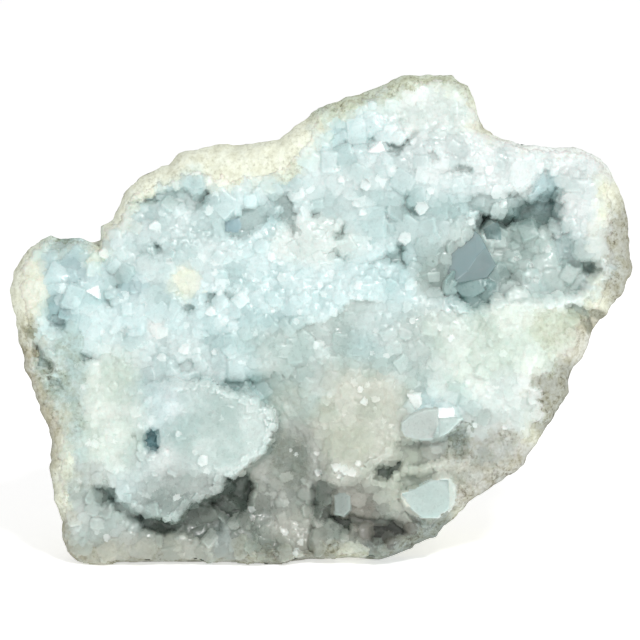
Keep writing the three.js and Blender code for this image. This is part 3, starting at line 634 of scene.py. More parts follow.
# What lies between the zones, and the spot on the left shoulder where crystals reach the stone's edge.
BASE_ZONE = Zone((0, 0), (1, 1), Tone.AQUA, 3.2)
BARE_SPOT = Patch((-100, 132), (13, 7))
ZONES = {
    "upper_left": Zone((-64, 130), (34, 26), Tone.WATER, 3.4),
    "upper_middle": Zone((4, 150), (24, 16), Tone.WATER, 3.4),
    "pale_lump": Zone((-3, 130), (19, 10), Tone.MILK, 3.4, 0.9),
    "left_middle": Zone((-62, 82), (30, 12), Tone.WATER, 2.8),
    "lower_middle": Zone((22, 77), (40, 11), Tone.HAZE, 2.8),
    "upper_white": Zone((84, 166), (62, 22), Tone.PEARL, 2.8, 0.9, 0.05),
    "pocket_brow": Zone((40, 139), (24, 12), Tone.LAGOON, 3.4, 0.9),
    "right_wall": Zone((107, 138), (18, 40), Tone.PEARL, 2.6, 0.8, 0.1),
    "top_peak": Zone((46, 187), (26, 17), Tone.MILK, 2.6, 0.9, 0.25),
    "middle_right": Zone((44, 91), (30, 16), Tone.LICHEN, 3.0),
    "lower_right": Zone((80, 86), (38, 26), Tone.PALE_GREEN, 2.4, 0.8, 0.25),
    "low_grey": Zone((8, 30), (72, 34), Tone.STONE, 3.2, 0.9, 0.1),
    "right_inner": Zone((76, 64), (16, 16), Tone.MILK, 3.0, 0.8, 0.15),
    "low_right_rock": Zone((68, 42), (22, 15), Tone.GREY, 2.3, 0.9, 0.7),
    "low_right_pale": Zone((60, 33), (12, 9), Tone.DOVE, 2.4, 0.9, 0.6),
    "lip_tan": Zone((96, 95), (15, 9), Tone.STRAW, 2.2, 0.9, 0.5),
    "middle_low": Zone((-10, 86), (26, 14), Tone.HAZE, 2.8),
    "low_haze": Zone((-6, 75), (26, 8), Tone.LICHEN, 2.6, 0.8, 0.1),
    "middle_shade": Zone((12, 97), (40, 20), Tone.LICHEN, 3.0, 0.5, 0.0, "middle_step"),
    "cream_crystals": Zone((-54.4, 114.2), (6.5, 7.2), Tone.CREAM, 8.0, 0.3),
    "cream_spot": Zone((-66, 95.5), (4.5, 5.5), Tone.MIST, 5.0, 0.4),
    "pit_side": Zone((-75, 112), (6, 6), Tone.TEAL, 3.2),
    "cream_mass": Zone((14, 58), (24, 24), Tone.OAT, 2.4, 0.6, 0.15),
    "cream_heart": Zone((10, 50), (12, 8), Tone.MOSS, 2.6, 0.5, 0.1),
    "left_white": Zone((-84, 62), (16, 29), Tone.PALE_GREEN, 2.6, 0.9, 0.15),
    "left_grey": Zone((-106, 68), (14, 28), Tone.HAZE, 2.0, 1.0, 0.8),
    "left_lobe": Zone((-97, 119), (14, 15), Tone.AQUA, 4.4, 0.8),
    "lobe_blue": Zone((-98, 117), (6, 7), Tone.TEAL, 6.0, 0.5),
    "lobe_pocket": Zone((-105, 103), (6, 9), Tone.TEAL, 3.4, 0.8),
    "lobe_rim": Zone((-119, 112), (10, 22), Tone.CREAM, 2.2, 0.7, 0.4),
    "lobe_stain": Zone((-118, 96), (5, 8), Tone.UMBER, 2.0, 0.7, 0.9),
    "blue_trench": Zone((-30, 139), (12, 8), Tone.LAGOON, 4.6, 0.5, 0.0, "blue_trench"),
    "valley_top": Zone((-13, 66), (12, 9), Tone.SAGE, 2.2, 0.8, 0.2),
    "bottom_grey": Zone((-14, 14), (90, 18), Tone.DUSK, 4.4, 1.1),
    "valley_grey": Zone((-14, 41), (15, 19), Tone.GREY, 2.2, 0.9, 0.2),
    "valley_deep": Zone((-13, 42), (9, 13), Tone.DUSK, 2.0, 0.9, 0.3),
    "corner_left": Zone((-95, 32), (14, 11), Tone.ASH, 2.6, 0.9, 0.4),
    "valley_floor": Zone((-11, 12), (11, 12), Tone.FLINT, 4.6, 1.0),
    "bottom_left": Zone((-90, 16), (20, 14), Tone.ASH, 3.4, 1.1, 0.1),
    "bottom_row": Zone((-70, 5), (30, 7), Tone.STONE, 4.6, 0.9),
    "column_grey": Zone((-39, 10), (4.5, 9), Tone.SLATE, 4.6, 0.8),
    "plate": Zone((-60, 50), (60, 50), Tone.HAZE, 2.4, 0.3, 0.0, "plate"),
    "plate_white": Zone((-71, 67), (15, 12), Tone.ICE, 2.6, 0.5, 0.0, "plate"),
    "plate_pale": Zone((-64, 42), (14, 6), Tone.MIST, 2.6, 0.5, 0.0, "plate"),
    "plate_low": Zone((-56, 30), (26, 9), Tone.SLATE, 3.4, 0.7, 0.0, "plate"),
    # Painted shade: the hole in the plate is dyed a dark teal.
    "plate_hole": Zone((-67, 51), (20, 20), Tone.HOLE_SHADE, 1.8, 0.4, 0.0, "plate_hole"),
    "bottom_right": Zone((30, 13), (18, 6), Tone.SOOT, 3.0, 1.1, 0.5),
    "low_middle": Zone((14, 24), (11, 10), Tone.BARK, 4.4, 1.0),
    "blade_side": Zone((36, 34), (16, 14), Tone.OAT, 3.0, 1.0, 0.1),
    "slab_side": Zone((62, 58), (7, 6), Tone.ASH, 4.4, 0.6),
    "brown_patch": Zone((54.5, 50), (4, 6), Tone.SLATE, 2.4, 0.9, 0.9),
    "pocket": Zone((77, 124), (34, 18), Tone.LICHEN, 4.6, 1.7),
    "pocket_side": Zone((98, 129), (6, 9), Tone.WATER, 5.0, 0.5),
    "pocket_left": Zone((44, 114), (9, 10), Tone.LICHEN, 3.6, 0.9),
    "pocket_foot": Zone((60, 114), (10, 12), Tone.SEA, 3.0, 0.5),
    "pocket_top": Zone((85, 142), (11, 6), Tone.SEA, 3.4, 0.9),
    "pocket_corner": Zone((89, 150), (6, 8), Tone.TEAL, 3.4, 0.8),
}


@dataclass(frozen=True)
class PaleFaces:
    """The way in which a pale crystal becomes an uneven face, given by ranges of its shape and slopes."""

    seed: int = 64
    sides: int = 6
    turned: float = 0.35
    reach: Pair = (0.75, 1.15)
    lean_across: Pair = (-0.2, 0.1)
    lean_up: Pair = (-0.35, 0.05)
    lift: float = 0.2
    # pale whitens each face: partly the milky colour of the crystal, partly a painted highlight.
    pale: float = 0.42

    def build(self) -> list[BigFace]:
        """Return a face for each pale crystal."""
        rnd = np.random.default_rng(self.seed)
        made = []
        for u, v, width in PALE_AND_GLINT_CRYSTALS:
            angle = rnd.uniform(0.0, math.tau) + np.arange(self.sides) * math.tau / self.sides
            angle = angle + rnd.uniform(-self.turned, self.turned, self.sides)
            reach = 0.5 * width * rnd.uniform(*self.reach, self.sides)
            outline = tuple(zip(u + reach * np.cos(angle), v + reach * np.sin(angle)))
            lean = (float(rnd.uniform(*self.lean_across)), float(rnd.uniform(*self.lean_up)))
            made.append(BigFace(outline, self.lift * width, lean, None, self.pale))
        return made


@dataclass(frozen=True)
class FacePatterns:
    """The noises that make the face uneven, each named by what it moves."""

    ragged_edge: Grain = Grain(5.0, 28, 3, 0.7)
    rim_waver: Grain = Grain(5.0, 25, 3)
    rim_fray: Grain = Grain(1.8, 27, 2, 1.3)
    rock_patches: Grain = Grain(10.0, 26, 2, 4.0)
    bend_across: Grain = Grain(7.0, 3, 2, 0.5)
    bend_up: Grain = Grain(7.0, 4, 2, 0.5)
    break_across: Grain = Grain(2.5, 9, 1, 0.6)
    break_up: Grain = Grain(2.5, 10, 1, 0.6)
    stony_lumps: Grain = Grain(5.0, 71, 4, 0.9)
    stony_grit: Grain = Grain(1.9, 72, 2, 0.45)
    zone_waver: Grain = Grain(14.0, 21, 3, 0.16)
    crystal_size: Grain = Grain(16.0, 51, 2, 0.35)
    milk: Grain = Grain(9.0, 52, 3, 0.75)
    turning: Grain = Grain(9.0, 33, 1, 0.8)


@dataclass
class Relief:
    """The fine relief of the open face, worked out once on a square grid.

    left, right, low and high bound the grid and step is its spacing. rock_ramp says where rock takes over,
    and rim_swing and patch_swing how far its line and its patches waver. reach widens the hollows, lumps are
    the width and height of the clusters, blocks the crystals along which ledges break, and soft_mm and
    wide_mm the blurs that slopes and hollows are measured with. dark says how fast each colour goes in the
    painted shade of a form.
    """

    left: float = -130.0
    right: float = 130.0
    low: float = -4.0
    high: float = 202.0
    step: float = 0.4
    clearance_mm: float = 0.2
    rock_ramp: Ramp = Ramp(-8.0, 11.0)
    bare_ramp: Ramp = Ramp(1.3, 1.0)
    bare_share: float = 0.85
    rim_swing: float = 1.6
    patch_swing: float = 2.0
    patch_share: float = 0.7
    reach: float = 0.4
    lumps: tuple[Pair, ...] = ((18.0, 1.7), (9.0, 1.4), (4.5, 0.5))
    lump_seed: int = 12
    blocks: CellPattern = CellPattern(2.2, 47)
    broken: float = 0.4
    unbroken_edge_mm: float = 4.0
    crystals_end_mm: float = 1.5
    stony_share: float = 0.6
    face_side_mm: float = 0.8
    face_side_slope: float = 4.0
    soft_mm: float = 1.2
    wide_mm: float = 4.0
    zone_ramp: Ramp = Ramp(1.25, 0.7)
    clear_shade: Triple = (0.85, 0.89, 0.885)
    clear_share: float = 0.9
    milk_white: float = 0.26
    dark: Triple = (1.06, 0.95, 1.0)
    patterns: FacePatterns = FacePatterns()
    faces: list[BigFace] = field(default_factory=lambda: [*BIG_FACES.values(), *PaleFaces().build()])
    layers: tuple["CrystalLayer", ...] = field(default_factory=lambda: CRYSTAL_LAYERS)
    shares: dict[str, Array] = field(default_factory=dict)
    fields: dict[str, Array] = field(default_factory=dict)

    def __post_init__(self) -> None:
        """Work out every field of the grid."""
        columns = np.arange(self.left, self.right + self.step / 2, self.step)
        rows = np.arange(self.low, self.high + self.step / 2, self.step)
        u, v = np.meshgrid(columns, rows)
        self.fields = {"u": u, "v": v}
        self._edges()
        self._macro()
        self._zones()
        self._clusters()
        depth = self.fields["depth"]
        wide = self.blurred(depth, self.wide_mm)
        self.fields["cavity"] = depth - wide
        self.fields["floor"] = np.minimum(wide, depth)
        self.fields["slope_v"], self.fields["slope_u"] = self._slopes(depth)
        self._crystals()
        self._big_faces()

    def _slopes(self, values: Array) -> tuple[Array, Array]:
        """Return how fast a field rises, up and across, once it is smoothed a little."""
        return tuple(np.gradient(self.blurred(values, self.soft_mm), self.step))

    def _edges(self) -> None:
        """Work out where the stone ends and where its crystals give way to rock."""
        u, v = self.fields["u"], self.fields["v"]
        edge = edge_distance(u, v, OUTLINE[:, :2]) + self.patterns.ragged_edge.over(u, v)
        waver = self.patterns.rim_waver.over(u, v)
        fray = self.patterns.rim_fray.over(u, v)
        inner = edge_distance(u, v, inset_outline()) + self.rim_swing * waver + fray
        patchy = self.patterns.rock_patches.over(u, v) + self.patch_swing * waver
        bare = self.bare_share * self.bare_ramp.down(BARE_SPOT.away(u, v))
        rock = self.rock_ramp.up(inner + self.patch_share * patchy) * (1.0 - bare)
        self.fields.update(edge=edge, inner=inner, rock=rock)
        self.fields["edge_v"], self.fields["edge_u"] = self._slopes(edge)

    def _macro(self) -> None:
        """Work out the depth of the swells, ledges and hollows."""
        u, v = self.fields["u"], self.fields["v"]
        bent_u = u + self.patterns.bend_across.over(u, v)
        bent_v = v + self.patterns.bend_up.over(u, v)
        depth = np.zeros(u.shape)
        for swell in SWELLS.values():
            depth += swell.rise * ease(1.0 - swell.away(u, v))
        for name, form in FORMS.items():
            corners = np.array(form.outline)
            cut = self._window(corners, form.slope + 2.0)
            away = edge_distance(bent_u[cut], bent_v[cut], corners) - (self.reach if form.rise < 0 else 0.0)
            self.shares[name] = np.zeros(u.shape)
            self.shares[name][cut] = ease(0.5 - away / form.slope) * form.faded(u[cut], v[cut])
            depth += form.rise * self.shares[name]
        inward = np.clip(1.0 + self.fields["edge"] / RIM_ROUND, 0.0, 1.0)
        self.fields["macro"] = depth - RIM_ROUND * (1.0 - np.sqrt(1.0 - inward**2))

    def _clusters(self) -> None:
        """Break the ledges into blocks and raise the clusters of crystals."""
        u, v = self.fields["u"], self.fields["v"]
        across, up = self.patterns.break_across.over(u, v), self.patterns.break_up.over(u, v)
        du, dv = self.blocks.offsets(u + across, v + up)
        blocky = self.sample("macro", u - du, v - dv)
        inland = ease(-self.fields["edge"] / self.unbroken_edge_mm)
        depth = mix(self.fields["macro"], blocky, self.broken * (1.0 - self.fields["rock"]) * inland)
        for number, (size, height) in enumerate(self.lumps):
            depth = depth + height * self.fields["ruffle"] * Grain(size, self.lump_seed + number).over(u, v)
        self.fields["depth"] = depth

    def _crystals(self) -> None:
        """Grow the crystals over the clusters: at each place the highest one wins."""
        u, v = self.fields["u"], self.fields["v"]
        grown = self.fields["edge"] < self.crystals_end_mm
        pu, pv = u[grown], v[grown]
        height = self.fields["depth"][grown] + 0.05
        found = {"own": np.full(height.shape, 0.5), "home_u": pu, "home_v": pv}
        for layer in self.layers:
            crystal, marks = layer.heights(pu, pv, self)
            found = {name: np.where(crystal > height, marks[name], values) for name, values in found.items()}
            height = np.maximum(height, crystal)
        stony = self.fields["depth"][grown] + self.patterns.stony_lumps.over(pu, pv)
        stony = stony + np.abs(self.patterns.stony_grit.over(pu, pv))
        rough = np.maximum(self.fields["rock"], self.fields["stony"])[grown]
        found["surface"] = mix(height, stony, self.stony_share * rough)
        ground = {"surface": self.fields["depth"], "own": np.full(u.shape, 0.5), "home_u": u, "home_v": v}
        for name, values in ground.items():
            self.fields[name] = values.copy()
            self.fields[name][grown] = found[name]

    def _big_faces(self) -> None:
        """Lay the broad flat faces over the crystals."""
        u, v = self.fields["u"], self.fields["v"]
        self.fields["face"] = np.full(u.shape, -1)
        for number, face in enumerate(self.faces):
            corners = np.array(face.outline)
            middle = corners.mean(axis=0)
            cut = self._window(corners, 2.0)
            away = edge_distance(u[cut], v[cut], corners)
            level = float(self.sample("depth", *middle[:, None])[0]) + face.lift
            plane = level + face.lean[0] * (u[cut] - middle[0]) + face.lean[1] * (v[cut] - middle[1])
            side = np.where(away < self.face_side_mm, plane - self.face_side_slope * away, ABSENT)
            plane = np.where(away < 0.0, plane, side)
            wins = (away < 0.0) | (plane > self.fields["surface"][cut])
            marks = {"surface": plane, "home_u": middle[0], "home_v": middle[1], "own": 0.5, "face": number}
            for name, value in marks.items():
                self.fields[name][cut] = np.where(wins, value, self.fields[name][cut])

    def _zones(self) -> None:
        """Blend the zones into fields of colour, crystal size, ruffle and stoniness."""
        u, v = self.fields["u"], self.fields["v"]
        waver = self.patterns.zone_waver.over(u, v)
        tint = np.broadcast_to(np.array(BASE_ZONE.tint.value), (*u.shape, 3)).copy()
        kinds = {name: np.full(u.shape, getattr(BASE_ZONE, name)) for name in ("size", "ruffle", "stony")}
        for zone in ZONES.values():
            share = self.zone_ramp.down(zone.away(u, v) + waver) * self.shares.get(zone.within, 1.0)
            tint = mix(tint, np.array(zone.tint.value), share[..., None])
            for name, values in kinds.items():
                kinds[name] = mix(values, getattr(zone, name), share)
        # Painted shade: every form darkens the colour inside it by its shade.
        shaded = np.ones(tint.shape)
        for name, form in FORMS.items():
            whole = np.power(form.shade, np.array(self.dark))
            shaded = shaded * (1.0 - (1.0 - whole) * self.shares[name][..., None])
        tint = tint * shaded
        kinds["size"] = kinds["size"] * (1.0 + self.patterns.crystal_size.over(u, v))
        milk = ease(0.5 + self.patterns.milk.over(u, v))[..., None]
        clear = mix(tint, tint * np.array(self.clear_shade), self.clear_share * (1.0 - milk))
        self.fields.update(kinds, tint=whiter(clear, self.milk_white * milk), shaded=shaded)

    def _window(self, corners: Array, margin: float) -> tuple[slice, slice]:
        """Return the part of the grid that holds the corners and a margin round them."""
        (top, left), (bottom, right) = (self.cell(*corner) for corner in (
            corners.min(axis=0) - margin, corners.max(axis=0) + margin))
        return np.s_[int(top):int(bottom), int(left):int(right)]

    def cell(self, u: Array, v: Array) -> tuple[Array, Array]:
        """Return the row and column of the grid cell that holds each place."""
        rows, columns = self.fields["u"].shape
        row = np.clip((v - self.low) / self.step, 0, rows - 2).astype(int)
        return row, np.clip((u - self.left) / self.step, 0, columns - 2).astype(int)

    def lowest(self, v: Array) -> Array:
        """Return the w at which the ground is nearly met, at each height v up the face."""
        return (self.clearance_mm - v * math.cos(PLANE.lean)) / math.sin(PLANE.lean)

    def blurred(self, values: Array, reach: float) -> Array:
        """Average a field over squares of about twice the reach, three times over.

        Args:
            values: A field of the grid.
            reach: Half the side of the blur, in millimetres.

        Returns:
            The blurred field, in the same shape.
        """
        half = max(1, int(round(reach / self.step / 1.7)))
        for _ in range(3):
            for axis in (0, 1):
                pad = [(half + 1, half) if a == axis else (0, 0) for a in (0, 1)]
                total = np.cumsum(np.pad(values, pad, mode="edge"), axis=axis)
                upper = np.take(total, range(2 * half + 1, total.shape[axis]), axis=axis)
                lower = np.take(total, range(0, total.shape[axis] - 2 * half - 1), axis=axis)
                values = (upper - lower) / (2 * half + 1)
        return values

    def across_edge(self, u: Array, v: Array, step: Array) -> tuple[Array, Array]:
        """Return the places moved by a step straight out over the stone's edge."""
        return u + step * self.sample("edge_u", u, v), v + step * self.sample("edge_v", u, v)

    def standing(self, height_mm: float) -> Array:
        """Return which grid points stand higher than that over the ground."""
        return self.fields["v"] * math.cos(PLANE.lean) > height_mm

    def sample(self, name: str, u: Array, v: Array) -> Array:
        """Read a field between grid points.

        Args:
            name: The field.
            u: Places across.
            v: Places up.

        Returns:
            The field's values at the places, one row for each if the field has several numbers.
        """
        values = self.fields[name]
        x = np.clip((u - self.left) / self.step, 0, values.shape[1] - 1.001)
        y = np.clip((v - self.low) / self.step, 0, values.shape[0] - 1.001)
        i, j = x.astype(int), y.astype(int)
        fx, fy = x - i, y - j
        if values.ndim == 3:
            fx, fy = fx[..., None], fy[..., None]
        low = mix(values[j, i], values[j, i + 1], fx)
        high = mix(values[j + 1, i], values[j + 1, i + 1], fx)
        return mix(low, high, fy)


@dataclass(frozen=True)
class CrystalHabit:
    """The shape that all the small crystals share: lengths as shares of the pitch, and slopes.

    A pair is the least value and what chance adds to it. wide and thick are half the length and breadth, cut
    bevels the corners, roof and end are the slopes of the chisel, and ridge and shift place its edge. skirt
    is the drop at the sides of a dull and of a shining crystal. follows is how far a crystal takes on the
    slope of its cluster, tilts how far it leans by itself, and scatter how far it stands off its cell.
    """

    wide: Pair = (0.48, 0.28)
    thick: Pair = (0.40, 0.24)
    cut: Pair = (0.04, 0.24)
    roof: Pair = (0.04, 0.20)
    end: Pair = (0.05, 0.26)
    ridge: float = 0.25
    shift: float = 0.15
    skirt: Pair = (0.08, 0.03)
    follows: float = 0.7
    tilts: float = 0.26
    steepest: float = 0.9
    scatter: float = 0.7
    first_cell: float = -1.85

    def chosen(self, name: str, chance: Array) -> Array:
        """Return a length or slope for each crystal from its chance of 0 to 1."""
        least, more = getattr(self, name)
        return least + more * chance


@dataclass(frozen=True)
class CrystalLayer:
    """Crystals of one size, at most one to each cell of a square lattice over the face.

    Each is a short prism with a chisel roof. least is the share of cells filled where the face wants no
    crystals of this size, wanted the range of wanted sizes over which the share rises to all, stands how
    far the tips stand out as a share of the pitch, and shine the share that catch the key light, where the
    face is as light as bright says. steep is the slope of the sides, which end a share beyond of the pitch
    away, and dull crystals keep the slope clear away from the one that shines.
    """

    pitch: float
    seed: int
    least: float
    wanted: Pair
    stands: Pair
    shine: float
    steep: Pair = (0.9, 2.6)
    beyond: float = 0.15
    clear: float = 0.3
    bright: Ramp = Ramp(0.25, 0.3)
    habit: CrystalHabit = CrystalHabit()

    def _columns(self, relief: Relief) -> int:
        """Return how many lattice cells lie side by side."""
        return int((relief.right - relief.left) / self.pitch) + 5

    def _grown(self, relief: Relief) -> dict[str, Array]:
        """Choose the place, size and slopes of the crystal of every cell.

        Args:
            relief: Gives the clusters to grow on and the crystal size that each place wants.

        Returns:
            One number for each cell under each name, with ABSENT as the top of an empty one.
        """
        habit = self.habit
        columns = self._columns(relief)
        count = columns * (int((relief.high - relief.low) / self.pitch) + 5)
        rnd = np.random.default_rng(self.seed).uniform(size=(14, count))
        row, col = np.divmod(np.arange(count), columns)
        u = relief.left + (col + habit.first_cell + habit.scatter * rnd[0]) * self.pitch
        v = relief.low + (row + habit.first_cell + habit.scatter * rnd[1]) * self.pitch
        wish = Ramp(self.wanted[0], self.wanted[1] - self.wanted[0]).up(relief.sample("size", u, v))
        filled = rnd[2] < mix(self.least, 1.0, wish)
        shines = rnd[12] < self.shine * self.bright.up(relief.sample("tint", u, v).mean(axis=-1))
        dull = np.where(shines, 0.0, 1.0)
        angle = np.pi * (relief.patterns.turning.over(u, v) + 0.5 * rnd[2])
        stand = mix(*self.stands, np.maximum(rnd[5], 0.9 * shines)) * self.pitch
        stand = stand * relief.sample("ruffle", u, v)
        lean_u = habit.follows * relief.sample("slope_u", u, v) + habit.tilts * (rnd[9] - 0.5)
        lean_v = habit.follows * relief.sample("slope_v", u, v) + habit.tilts * (rnd[10] - 0.5)
        near = np.clip(1.0 - np.hypot(lean_u - GLINT[0], lean_v - GLINT[1]) / self.clear, 0.0, 1.0)
        lean_v = lean_v + 0.8 * self.clear * near
        return {
            "u": u, "v": v, "cos": np.cos(angle), "sin": np.sin(angle), "own": rnd[13],
            "wide": self.pitch * habit.chosen("wide", rnd[3]),
            "thick": self.pitch * habit.chosen("thick", rnd[4]),
            "cut": self.pitch * habit.chosen("cut", rnd[7]),
            "ridge": self.pitch * habit.ridge * rnd[6],
            "shift": habit.shift * self.pitch * (rnd[8] - 0.5),
            "roof": dull * habit.chosen("roof", rnd[7]),
            "end": dull * habit.chosen("end", rnd[11]),
            "skirt": self.pitch * mix(*habit.skirt, shines),
            "steep": mix(*self.steep, rnd[12]),
            "lean_u": np.where(shines, GLINT[0], np.clip(lean_u, -habit.steepest, habit.steepest)),
            "lean_v": np.where(shines, GLINT[1], np.clip(lean_v, -habit.steepest, habit.steepest)),
            "top": np.where(filled, relief.sample("depth", u, v) + stand, ABSENT),
        }

    def heights(self, u: Array, v: Array, relief: Relief) -> tuple[Array, dict[str, Array]]:
        """Work out how far the crystals of this layer reach towards the one who looks.

        Args:
            u: Places across.
            v: Places up.
            relief: Gives the clusters to grow on and the crystal size that each place wants.

        Returns:
            The w of the highest crystal at each place, very low where there is none, and its marks: where
            it stands, and a number from 0 to 1 of its own.
        """
        made = self._grown(relief)
        columns = self._columns(relief)
        home = ((v - relief.low) // self.pitch).astype(int) + 2
        home = home * columns + ((u - relief.left) // self.pitch).astype(int) + 2
        best = np.full(u.shape, ABSENT)
        winner = home.copy()
        for rise, pace in itertools.product((-1, 0, 1), repeat=2):
            k = home + rise * columns + pace
            du, dv = u - made["u"][k], v - made["v"][k]
            x = du * made["cos"][k] + dv * made["sin"][k]
            y = dv * made["cos"][k] - du * made["sin"][k]
            fall = np.maximum(made["roof"][k] * np.abs(y - made["shift"][k]),
                              made["end"][k] * np.maximum(np.abs(x) - made["ridge"][k], 0.0))
            across, along = np.abs(y) - made["thick"][k], np.abs(x) - made["wide"][k]
            past = np.maximum(np.maximum(along, across), 0.75 * (along + across) + made["cut"][k])
            fall = np.maximum(fall, made["steep"][k] * past + made["skirt"][k])
            crystal = made["top"][k] - fall + made["lean_u"][k] * du + made["lean_v"][k] * dv
            crystal = np.where(past < self.beyond * self.pitch, crystal, ABSENT)
            winner = np.where(crystal > best, k, winner)
            best = np.maximum(best, crystal)
        return best, {"own": made["own"][winner], "home_u": made["u"][winner], "home_v": made["v"][winner]}


CRYSTAL_LAYERS = (
    CrystalLayer(1.7, 101, 1.0, (0.0, 1.0), (0.04, 0.15), 0.004),
    CrystalLayer(2.6, 102, 0.50, (1.5, 2.6), (0.05, 0.22), 0.012),
    CrystalLayer(4.2, 103, 0.20, (2.2, 3.8), (0.06, 0.24), 0.010),
    CrystalLayer(6.8, 104, 0.02, (3.0, 5.2), (0.08, 0.22), 0.01),
)


def inset_outline() -> Array:
    """Return the outline moved inwards at each corner by its own rim width."""
    before, after = np.roll(OUTLINE, 1, axis=0), np.roll(OUTLINE, -1, axis=0)
    way = after[:, :2] - before[:, :2]
    way /= np.linalg.norm(way, axis=1)[:, None]
    return OUTLINE[:, :2] + np.stack([way[:, 1], -way[:, 0]], axis=1) * OUTLINE[:, 2:3]


# ---- mesh helpers


def dye(mesh: bpy.types.Mesh, colours: Array, domain: str) -> None:
    """Give a mesh its colours.

    Args:
        mesh: The mesh.
        colours: Rows of red, green, blue and the strength of the grain.
        domain: POINT for a row for each vertex, CORNER for one for each corner of each face.
    """
    layer = mesh.color_attributes.new("tint", "FLOAT_COLOR", domain)
    layer.data.foreach_set("color", np.ascontiguousarray(colours, np.float32).ravel())


def placed(name: str, data: bpy.types.ID) -> Piece:
    """Return a new object with that mesh, light or camera, in the scene."""
    made = bpy.data.objects.new(name, data)
    bpy.context.scene.collection.objects.link(made)
    return made


def corner_values(piece: Piece, name: str) -> Array:
    """Return the places ("co") or the normals ("normal") of a piece's vertices, one in each row."""
    values = np.empty(3 * len(piece.data.vertices), np.float32)
    piece.data.vertices.foreach_get(name, values)
    return values.reshape(-1, 3).astype(float)


def modified(piece: Piece) -> bpy.types.Mesh:
    """Return the mesh that a piece's modifiers make, and take the modifiers off."""
    ready = bpy.data.meshes.new_from_object(piece.evaluated_get(bpy.context.evaluated_depsgraph_get()))
    piece.modifiers.clear()
    return ready


def make_object(name: str, points: Array, triangles: Array, tint: Array | None = None) -> Piece:
    """Make a mesh object from arrays.

    Args:
        name: Name of the piece.
        points: Corners in world metres, one in each row.
        triangles: Three corner numbers in each row, counter-clockwise seen from outside.
        tint: Colour of each corner and the strength of its grain, kept as the attribute "tint".

    Returns:
        The new object, in the scene.
    """
    mesh = bpy.data.meshes.new(name)
    mesh.vertices.add(len(points))
    mesh.vertices.foreach_set("co", np.ascontiguousarray(points, np.float32).ravel())
    mesh.loops.add(3 * len(triangles))
    mesh.loops.foreach_set("vertex_index", np.ascontiguousarray(triangles, np.int32).ravel())
    mesh.polygons.add(len(triangles))
    mesh.polygons.foreach_set("loop_start", np.arange(0, 3 * len(triangles), 3, dtype=np.int32))
    mesh.update(calc_edges=True)
    mesh.validate()
    if tint is not None:
        dye(mesh, tint, "POINT")
    return placed(name, mesh)


# ---- finishes


